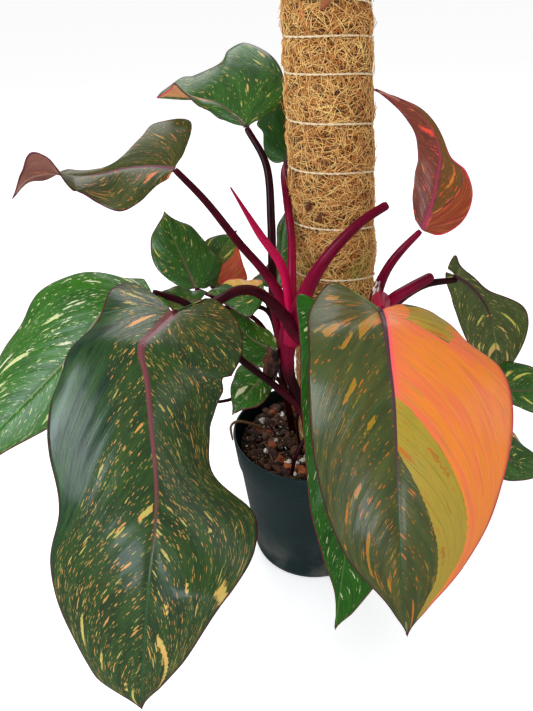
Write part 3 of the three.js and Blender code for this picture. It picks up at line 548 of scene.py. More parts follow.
moss_group, given, result = new_group("pole_moss", [("Amount", "value", 0.5)], [("Moss", "value")])
place = object_place(moss_group)
low = step_between(height_of(place), 0.262, 0.23)
(low * step_between(grain(place, 60.0), 0.46, 0.6) * given["Amount"]).feed(result["Moss"])


def moss(tree, amount):
    """Where a thin bloom of moss has settled on the damp foot of the pole."""
    return field(tree, "ShaderNodeGroup", {"Amount": amount}, node_tree=moss_group)


coir_finish, shader = new_finish("coir_felt", 0.9)
place = object_place(shader.id_data)
threads = [field(place.tree, "ShaderNodeGroup", {"Seed": seed, "Scale": scale}, node_tree=coir_group)
           for seed, scale in ((0.0, 190.0), (3.1, 260.0), (7.7, 330.0), (11.3, 420.0))]
# Between the threads the felt takes the dark brown 47230a, as painted shade in its hollows; the threads run
# from tan to gold.
depth = (larger(threads[0], threads[1]) + larger(threads[2], threads[3]) * 0.55).held()
tint = blended(depth, "47230a", blended(grain(place, 90.0, 2.0), "d97f2c", "ffc96c"))
cover(shader, blended(moss(place.tree, 0.55), tint, "8f8a34"), depth, 0.9, 0.0009)
place_piece("coir_sleeve_felt", sleeve, [coir_finish], ["coir_sleeve"])


def bent_wire(name, runs, radius, round_steps=0):
    """One bmesh of thin round wires; each run is a list of points in mm."""
    curve = bpy.data.curves.new(name, "CURVE")
    curve.dimensions = "3D"
    curve.bevel_depth = radius * MM
    curve.bevel_resolution = round_steps
    curve.use_fill_caps = True
    for run in runs:
        spline = curve.splines.new("POLY")
        spline.points.add(len(run) - 1)
        for point, spot in zip(spline.points, run):
            point.co = (*(Vector(spot) * MM), 1)
    holder = bpy.data.objects.new(name, curve)
    data = bpy.data.meshes.new_from_object(holder)
    bm = bmesh.new()
    bm.from_mesh(data)
    bpy.data.objects.remove(holder)
    bpy.data.curves.remove(curve)
    bpy.data.meshes.remove(data)
    return bm


fibre_finish, shader = new_finish("coir_fibre", 0.75)
place = object_place(shader.id_data)
tone = attribute(place.tree, "tone") * 0.75 + grain(place, 160.0, 2.0) * 0.4
tint = blended(step_between(tone, 0.1, 1.0), "c06822", "ffd888")
cover(shader, blended(moss(place.tree, 0.6), tint, "a9a33c"))


def coir_fibres(seed, count, points, stride, curl, lift):
    """Curled loose fibres that lie on the felt and stand off it by up to lift, in mm."""
    dice = random.Random(seed)
    runs = []
    for i in range(count):
        angle = dice.random() * 2 * math.pi
        height = dice.uniform(-4, pole_length - 1)
        heading = dice.choice((0, 1, 2)) * math.pi / 2 + dice.gauss(0, 0.8)
        bend = dice.gauss(0, curl)
        proud = dice.uniform(0.0, 0.6)
        rise = dice.random() ** 3 * lift
        run = []
        for step in range(points):
            share = step / (points - 1)
            out = proud + rise * share * share - 0.5 * (step == 0)
            level = min(height, pole_length + 1.2)
            run.append(pole_point(sleeve_radius(angle, height) + out, angle, level))
            heading += bend + dice.gauss(0, 0.1)
            angle += stride * math.cos(heading) / SLEEVE_MIDDLE
            height += stride * math.sin(heading)
        runs.append(run)
    return runs


def strewn_fibres(count, points, stride):
    """Loose fibres and thin dry roots that lie among the chips on the soil."""
    runs = []
    for i in range(count):
        spot = soil_spot(50)
        heading = dice.uniform(0, 6.3)
        bend = dice.gauss(0, 0.35)
        level = SOIL_TOP + dice.uniform(2.6, 5.4)
        run = []
        for step in range(points):
            run.append(Vector((spot.x, spot.y, level + 0.7 * math.sin(1.1 * step + i))))
            heading += bend
            spot += stride * Vector((math.cos(heading), math.sin(heading)))
            spot *= min(1, 53 / spot.length)
        runs.append(run)
    return runs


STREWN_FIBRES = 60
dice = random.Random(23)
strewn_finish, shader = new_finish("strewn_fibre", 0.85)
cover(shader, blended(grain(object_place(shader.id_data), 90.0), "3a1f10", "b58d62"))
strewn = bent_wire("soil_fibres", strewn_fibres(STREWN_FIBRES, 6, 1.9), 0.24)
place_piece("soil_fibres", strewn, [strewn_finish], ["soil"])

# Each layer: fibres, points on each, their stride in mm, curl, how far they stand off and their radius in mm.
FIBRE_LAYERS = [("coir_fibres_inner", 4300, 6, 2.8, 0.3, 1.0, 0.21),
                ("coir_fibres_outer", 2900, 8, 3.3, 0.26, 2.4, 0.18)]
for seed, (name, count, points, stride, curl, lift, radius) in enumerate(FIBRE_LAYERS):
    wires = bent_wire(name, coir_fibres(seed + 11, count, points, stride, curl, lift), radius)
    tone = wires.verts.layers.float.new("tone")
    each = len(wires.verts) // count
    dice = random.Random(seed)
    shades = [dice.random() for i in range(count)]
    for index, vert in enumerate(wires.verts):
        vert[tone] = shades[min(index // each, count - 1)]
    place_piece(name, wires, [fibre_finish], ["coir_sleeve"])

# Each bark chip caught in the coir: its angle in degrees, its height on the pole and its size in mm.
CAUGHT_CHIPS = ((233, 181, 9), (249, 174, 7), (263, 295, 8), (80, 120, 8), (340, 60, 6))
chip_finish = soil_finish("coir_chip", "56220f", "a8603c", 500.0, 0.85, 0.6)
chips = soil_layer()
for angle, height, size in CAUGHT_CHIPS:
    spot = pole_point(sleeve_radius(math.radians(angle), height) + 0.7, math.radians(angle), height)
    lay_grain(chips, size, (0.5, 0.4, 1), spot, 0.5, 2)
place_piece("coir_chips", chips, [chip_finish], ["coir_sleeve"])

stake_finish, shader = new_finish("stake_wood", 0.75)
wood = grain(stretched(object_place(shader.id_data), (420, 420, 30)), 1.0, 4.0, 0.6, 0.6)
cover(shader, blended(wood, "6e4d2c", "bd935f"), wood, 0.4, 0.0004)
stake = bmesh.new()
top = pole_length + STAKE_PROUD
lathe(stake, [(0, -82), (6, -82), (STAKE_RADIUS, -70), (STAKE_RADIUS, top - 1), (STAKE_RADIUS - 1, top),
              (0, top)], 40)
bmesh.ops.rotate(stake, matrix=pole_turn.to_matrix(), verts=stake.verts[:])
bmesh.ops.translate(stake, vec=POLE_FOOT * MM, verts=stake.verts[:])
place_piece("pole_stake_wood", stake, [stake_finish], ["pole_stake"])

TWINE_STEPS = 120
strands = [[], []]
for step in range((len(TWINE_LEVELS) - 1) * TWINE_STEPS + 1):
    whole, part = divmod(step, TWINE_STEPS)
    angle = part * 2 * math.pi / TWINE_STEPS
    height = twine_height(len(TWINE_LEVELS) - 1 - whole - twine_drop(angle))
    twist = step * 0.9
    for strand, turn in zip(strands, (0, math.pi)):
        out = groove_radius(height) + TWINE_RADIUS + TWINE_PROUD + STRAND_SWING * math.cos(twist + turn)
        strand.append(pole_point(out, angle, height + STRAND_SWING * math.sin(twist + turn)))
twine_finish, shader = new_finish("twine_fibre", 0.8)
cover(shader, blended(grain(object_place(shader.id_data), 260.0), "cdb083", "fbeccb"))
place_piece("twine_spiral", bent_wire("twine", strands, STRAND_RADIUS, 1), [twine_finish], ["twine"])

# Stems and petioles: three plants stand in the pot. Their canes and leaf stalks are round, waxy and glossy,
# crimson where they are young and darker where they are old, with fine grooves along them. The nearly black
# low on the canes is painted shade.
# Each rod is given by its points and radii in mm and by its shade along it: 0 is nearly black, 1 bright pink;
# the lowest values are partly painted shade.
# Radii and shades are spread evenly over its length.
RING_GAP = 1.6
RIDGE_DEPTH = 0.008
LEFT_RODS = [
    ([(9, -35, 72), (6, -35, 98), (-4, -34, 126), (-9, -33, 152), (-18, -30, 177), (-19, -27, 195),
     (-18, -24, 208), (-14, -22, 219)], [5.5, 5.5, 5, 4.5, 4, 3.8, 3.6, 3.6, 4.4, 6.6, 4.6],
     [0, 0, 0, 0.02, 0.03, 0.04, 0.06, 0.1, 0.5, 0.48, 0.55]),
    ([(-9, -31, 204), (-14, -33, 211), (-21, -37, 225), (-30, -44, 240), (-38, -52, 250), (-45, -64, 257),
     (-51, -78, 262), (-60, -94, 264), (-69.5, -108, 266.4), (-77.4, -119.4, 270.3)],
     [4.6, 4.4, 3.7, 3.3, 3.1, 3, 2.8, 2.6, 2.6, 2.4],
     [0.4, 0.32, 0.25, 0.2, 0.2, 0.2, 0.2, 0.18, 0.2, 0.2]),
    ([(-6, -33, 140), (-12, -33, 153), (-31, -36, 176), (-49, -44, 199), (-63, -52, 225), (-79, -58, 247),
     (-96.5, -60, 255.6)], [3, 2.6, 2.3, 2.2, 2.2, 2.2, 2], [0.3, 0.2, 0.1, 0.05, 0.05, 0.08, 0.1]),
    ([(-18, -23, 208), (-23, -19, 230), (-33, -12, 245), (-47, -4, 260), (-68, 4, 287),
     (-85.6, 9.8, 305.4)], [5, 3.4, 2.8, 2.6, 2.3, 2], [0.8, 0.5, 0.3, 0.25, 0.2, 0.2]),
    ([(-16, -23, 214), (-21, -21, 250), (-35, -18, 273), (-51, -12, 300)], [3.4, 3.1, 2.4, 0.5],
     [0.9, 0.95, 0.8, 0.7]),
    ([(-21, -24, 190), (-27, -12, 223), (-27, 2, 257), (-27, 8, 271), (-29, 26, 302), (-40.6, 39.6, 322)],
     [3.6, 3, 2.8, 2.7, 2.5, 2], [0.5, 0.3, 0.12, 0.05, 0.05, 0.12]),
    ([(-16, -23, 213), (-14.8, -8, 243), (-14.3, 4, 260), (-16.2, 22, 280), (-17, 44, 290),
     (-14.2, 65.4, 292.6)], [4.6, 3, 2.6, 2.6, 2.4, 2], [0.8, 0.7, 0.6, 0.5, 0.45, 0.3]),
    ([(-17, -27, 200), (-13, -29, 218), (-7, -33, 240), (2, -36, 259), (12, -36, 272), (25, -34, 284),
     (40, -30, 292)], [6.5, 6.6, 5, 4, 3.3, 2.8, 2.6], [0.7, 0.72, 0.62, 0.5, 0.45, 0.4, 0.4]),
    ([(-15, -24, 200), (-8, -38, 214), (-2, -58, 232), (2.6, -74.6, 247.6)], [3.4, 2.8, 2.4, 2.2],
     [0.5, 0.3, 0.15, 0.1]),
    ([(-5, -33, 132), (-14, -38, 118), (-20, -42, 93)], [1.6, 1.4, 1.2], [0.15, 0.1, 0.05]),
    ([(-1, -34, 124), (-6, -46, 112), (-4, -52, 92)], [1.5, 1.3, 1.1], [0.15, 0.1, 0.05]),
    ([(-16, -31, 172), (-9, -26, 158), (-13, -22, 134), (-9, -20, 92)], [1.1, 1, 1, 1], [0.2, 0.1, 0.05, 0]),
]
RIGHT_RODS = [
    ([(25, -36, 78), (26, -38, 98), (29, -37, 140), (34, -33, 180), (37, -28, 212), (37, -27, 226)],
     [6, 6, 5.5, 5.5, 6.5, 4.5], [0.1, 0.1, 0.15, 0.3, 0.8, 0.7]),
    ([(37, -28, 214), (37, -27, 232), (42, -29, 250), (49, -30, 262), (60.6, -30, 275.2)],
     [4, 4, 3, 2.5, 1.8], [0.45, 0.4, 0.42, 0.45, 0.5]),
    ([(38, -27, 214), (50, -18, 221), (72, 0, 225), (99.5, 18.2, 219.8)], [4, 3, 2.5, 2],
     [0.5, 0.2, 0.1, 0.1]),
    ([(38, -28, 216), (47, -26, 228), (58, -20, 232), (75, -10, 236)], [3.8, 3.8, 3.6, 3.2],
     [0.62, 0.6, 0.5, 0.45]),
    ([(40, -29, 218), (37, -45, 237), (31, -70, 250), (27.6, -95, 257.2)], [5, 5.4, 4.4, 2.6],
     [0.7, 0.8, 0.75, 0.8]),
    ([(36, -30, 196), (54, -22, 192), (84, -12, 170), (110, -5, 152), (128.4, -2, 142.4)],
     [4, 2.6, 2.4, 2.2, 1.8], [0.3, 0.15, 0.1, 0.1, 0.1]),
    ([(34, -34, 178), (54, -36, 172), (86, -32, 146), (108, -28, 124), (122.2, -26, 110)],
     [4, 2.6, 2.4, 2.2, 1.8], [0.3, 0.15, 0.1, 0.1, 0.1]),
]
YOUNG_RODS = [
    ([(-14, 14, 74), (-15, 12, 98), (-17, 10, 117), (-21, 4, 147), (-23, 2, 172)], [3, 3, 2.8, 2.6, 2.4],
     [0.05, 0.08, 0.1, 0.15, 0.2]),
    ([(-21, 5, 145), (-27, 12, 172), (-38, 22, 190), (-60, 26, 204), (-80.6, 20, 219)],
     [2.2, 1.8, 1.7, 1.6, 1.4], [0.2]),
    ([(-22, 2, 165), (-24, 16, 190), (-33, 32, 203), (-50, 42, 206), (-70.8, 44.8, 206.2)],
     [2.2, 1.7, 1.6, 1.5, 1.4], [0.2]),
    ([(-22, 2, 165), (-22, 14, 184), (-23, 32, 196), (-24, 44.6, 205.4)], [2, 1.7, 1.6, 1.4], [0.2]),
    ([(-22, 2, 160), (-25, 15, 186), (-31, 15, 208), (-34, 6, 221), (-33, -1.4, 225.8)],
     [2, 1.7, 1.6, 1.5, 1.3], [0.2]),
    ([(-23, 5, 175), (-32, 11, 205), (-52, 15, 207), (-68, 5, 211), (-75.6, 0.4, 219.4)],
     [1.8, 1.6, 1.6, 1.5, 1.3], [0.15]),
    ([(-22, 3, 158), (-24, -3, 172), (-25.8, -5.6, 182.2)], [2, 1.6, 1.4], [0.15]),
    ([(-20, 5, 140), (-26, -4, 158), (-34.6, -11.6, 165.4)], [2, 1.6, 1.4], [0.15]),
    ([(-21, 4, 146), (-42, 0, 147), (-62, -4, 141), (-84, -10, 143)], [1.6, 1.3, 1.2, 1], [0.1]),
]


def smooth_path(corners, per_corner=16):
    """A smooth line through the corners: a function from a share of it to a point, and its length."""
    spots = [Vector(c) for c in corners]
    spots = [2 * spots[0] - spots[1], *spots, 2 * spots[-1] - spots[-2]]
    line = []
    for a, b, c, d in zip(spots, spots[1:], spots[2:], spots[3:]):
        first, middle, last = [math.sqrt((q - p).length) for p, q in ((a, b), (b, c), (c, d))]
        lead = ((b - a) / first - (c - a) / (first + middle) + (c - b) / middle) * middle
        tail = ((c - b) / middle - (d - b) / (middle + last) + (d - c) / last) * middle
        for i in range(per_corner):
            t = i / per_corner
            line.append(b * (2 * t ** 3 - 3 * t ** 2 + 1) + lead * (t ** 3 - 2 * t ** 2 + t)
                        + c * (3 * t ** 2 - 2 * t ** 3) + tail * (t ** 3 - t ** 2))
    line.append(spots[-2])
    reached = [0.0]
    for p, q in zip(line, line[1:]):
        reached.append(reached[-1] + (q - p).length)

    def at(share):
        goal = min(max(share, 0), 1) * reached[-1]
        low, high = 0, len(reached) - 1
        while high - low > 1:
            half = (low + high) // 2
            low, high = (half, high) if reached[half] <= goal else (low, half)
        return line[low].lerp(line[high], (goal - reached[low]) / max(reached[high] - reached[low], 1e-9))

    return at, reached[-1]


def list_value(values, share):
    """A value from a list in even steps."""
    where = min(max(share, 0), 1) * (len(values) - 1)
    below = min(int(where), len(values) - 1)
    above = min(below + 1, len(values) - 1)
    return values[below] + (values[above] - values[below]) * (where - below)


def rod_layer():
    """An empty bmesh that keeps each point's shade and its angle round the rod."""
    bm = bmesh.new()
    for name in ("tone", "turn"):
        bm.verts.layers.float.new(name)
    return bm


def add_rod(stems, points, radii, shades, sides=20):
    """A round stalk, grown ring by ring along its path, with slight ridges along it."""
    bm = rod_layer()
    tone, turns = [bm.verts.layers.float[name] for name in ("tone", "turn")]
    at, length = smooth_path(points)
    steps = max(int(length / RING_GAP), 6)
    ahead = (at(0.01) - at(0)).normalized()
    side = ahead.orthogonal().normalized()
    ring = bmesh.ops.create_circle(bm, cap_ends=True, segments=sides, radius=1)["verts"]
    edges = list({e for v in ring for e in v.link_edges})
    for step in range(steps + 1):
        share = step / steps
        ahead = (at(min(share + 0.02, 1)) - at(max(share - 0.02, 0))).normalized()
        side = (side - ahead * side.dot(ahead)).normalized()
        lift = ahead.cross(side)
        end = min(share, 1 - share) * length
        radius = list_value(radii, share) * (1 if end > 1 else 0.8 + 0.2 * end)
        if step:
            grown = bmesh.ops.extrude_edge_only(bm, edges=edges)["geom"]
            ring = [g for g in grown if isinstance(g, bmesh.types.BMVert)]
            edges = [g for g in grown if isinstance(g, bmesh.types.BMEdge)]
        for vert in ring:
            if not step:
                vert[turns] = math.atan2(vert.co.y, vert.co.x)
            turn = vert[turns]
            ridge = 1 + RIDGE_DEPTH * math.cos(5 * turn + 0.02 * length * share)
            vert.co = (at(share) + (side * math.cos(turn) + lift * math.sin(turn)) * radius * ridge) * MM
            vert[tone] = list_value(shades, share)
    bmesh.ops.contextual_create(bm, geom=edges)
    gather(stems, bm)


PETIOLE_TONES = [(0.0, "120305"), (0.15, "2e040e"), (0.3, "4c0418"), (0.5, "700428"), (0.75, "980636"),
                 (1.0, "ca0a4a")]
stem_finish, shader = new_finish("petiole_skin", 0.32, Specular_IOR_Level=0.09, Coat_Weight=0.04,
                                 Coat_Roughness=0.1)
mottle = grain(object_place(shader.id_data), 120.0, 4.0, 0.6)
shade = attribute(mottle.tree, "tone") + (mottle - 0.5) * 0.35
tint = field(mottle.tree, "ShaderNodeValToRGB", {0: shade})
ramp = tint.socket.node.color_ramp
for place, code in PETIOLE_TONES[1:-1]:
    ramp.elements.new(place)
for element, (place, code) in zip(ramp.elements, PETIOLE_TONES):
    element.position = place
    element.color = paint(code)
cover(shader, tint, mottle, 0.15, 0.0004)

for name, rods, node, slot in (("left_stems", LEFT_RODS, "left_plant_stems", "stem_crimson"),
                               ("right_stems", RIGHT_RODS, "right_plant_stems", "stem_crimson"),
                               ("young_stems", YOUNG_RODS, "young_plant_stems", "stem_dark")):
    stems = rod_layer()
    for points, radii, shades in rods:
        add_rod(stems, points, radii, shades)
    bmesh.ops.recalc_face_normals(stems, faces=stems.faces[:])
    place_piece(name, stems, [stem_finish], [node])

# Dry leaf sheaths and an old root: papery brown scraps cling to the stems where leaves have fallen, and a dry
# root has crept over the pot's rim. Both are dull and brittle.
paper_group, given, result = new_group("paper_veins", [], [("Veins", "value")])
grain(stretched(object_place(paper_group), (900, 900, 90)), 1.0).feed(result["Veins"])
dry_finish, shader = new_finish("dry_sheath", 0.8)
veins = field(shader.id_data, "ShaderNodeGroup", node_tree=paper_group)
patches = step_between(grain(object_place(veins.tree), 130.0), 0.45, 0.6)
cover(shader, blended(patches, blended(veins, "2c120d", "7d4630"), "1d0c0a"), veins, 0.5, 0.0004)
pale_finish, shader = new_finish("pale_sheath", 0.7)
veins = field(shader.id_data, "ShaderNodeGroup", node_tree=paper_group)
cover(shader, blended(step_between(veins, 0.42, 0.6), "6a2a34", "eadbd0"))
# Each sheath: its CAD node, middle, length, width and wall in mm, lean, curl, how torn it is, and its finish.
SHEATHS = {
    "sheath_left": ("dry_sheath_left", (-29.5, -30, 186), 20, 13, 0.5, 0.22, 3.2, 1.0, dry_finish),
    "sheath_right": ("dry_sheath_right", (36, -33, 238), 12, 4.6, 0.4, 0.2, 1.5, 0.9, pale_finish),
}
for name, (node, middle, length, width, thickness, lean, curl, torn, finish) in SHEATHS.items():
    sheath = bmesh.new()
    bmesh.ops.create_grid(sheath, x_segments=36, y_segments=44, size=0.5)
    for vert in sheath.verts:
        side, up = vert.co.x, vert.co.y
        spot = Vector((side * 4, up * 5, 2 * torn))
        narrow = 1 - 1.1 * up * up + 0.35 * noise.noise(Vector((up * 6, 1, 4))) * torn
        ragged = torn * 0.14 * noise.noise(Vector((side * 11, 3, 1))) * min(1, abs(up) * 3)
        crease = 1.1 * torn * noise.noise(spot) + 0.25 * math.sin(30 * side + 4 * up)
        roll = 5.5 * side * side * (1 + torn * up)
        vert.co = (middle[0] + side * width * narrow * (1 - 0.3 * abs(side)) + lean * up * length,
                   middle[1] + curl * (roll - 0.6 + 0.8 * math.sin(4 * up)) + crease,
                   middle[2] + (up + ragged) * length)
    bmesh.ops.scale(sheath, vec=(MM, MM, MM), verts=sheath.verts[:])
    bmesh.ops.recalc_face_normals(sheath, faces=sheath.faces[:])
    piece = place_piece(name, sheath, [finish], [node])
    wall = piece.modifiers.new("wall", "SOLIDIFY")
    wall.thickness = thickness * MM
    wall.offset = 0

root_finish, shader = new_finish("dry_root", 0.85)
bark_tone = grain(object_place(shader.id_data), 300.0, 4.0)
cover(shader, blended(bark_tone, "3f2715", "94683f"), bark_tone, 0.6, 0.0006)
root = rod_layer()
add_rod(root, [(-32, 14, 97), (-44, 12, 106), (-53, 10, 111), (-58.2, 9, 111.9), (-61.8, 7, 109.5),
               (-61, 3, 99)],
        [1.3, 1.2, 1.1, 1.1, 1, 0.7], [0.5], 10)
bmesh.ops.recalc_face_normals(root, faces=root.faces[:])
place_piece("root_over_pot_rim", root, [root_finish], ["root_over_rim"])

# Leaves: broad, waxy blades with a raised midrib, soft side veins and a thin red margin. The variegation runs
# in streaks along the side veins, from cream flecks on green to half a blade of orange.
# rib is the midrib in space, up the way the upper face looks, left and right the flat outline as (along, out)
# in mm, and each fold how far that half hangs down, in degrees from base to tip.
VEIN_LEAD = 0.25
VEIN_SLANT = 1.15
VEIN_RELIEF = 0.011
RIB_GROOVE = 0.4
TANGENT_STEP = 0.12
MARGIN_STEPS = 300
WIDTH_STEPS = 60
FIRST_ROW = 1 / 15
EDGE_CROWDING = 1.2
RIPPLE = 0.6
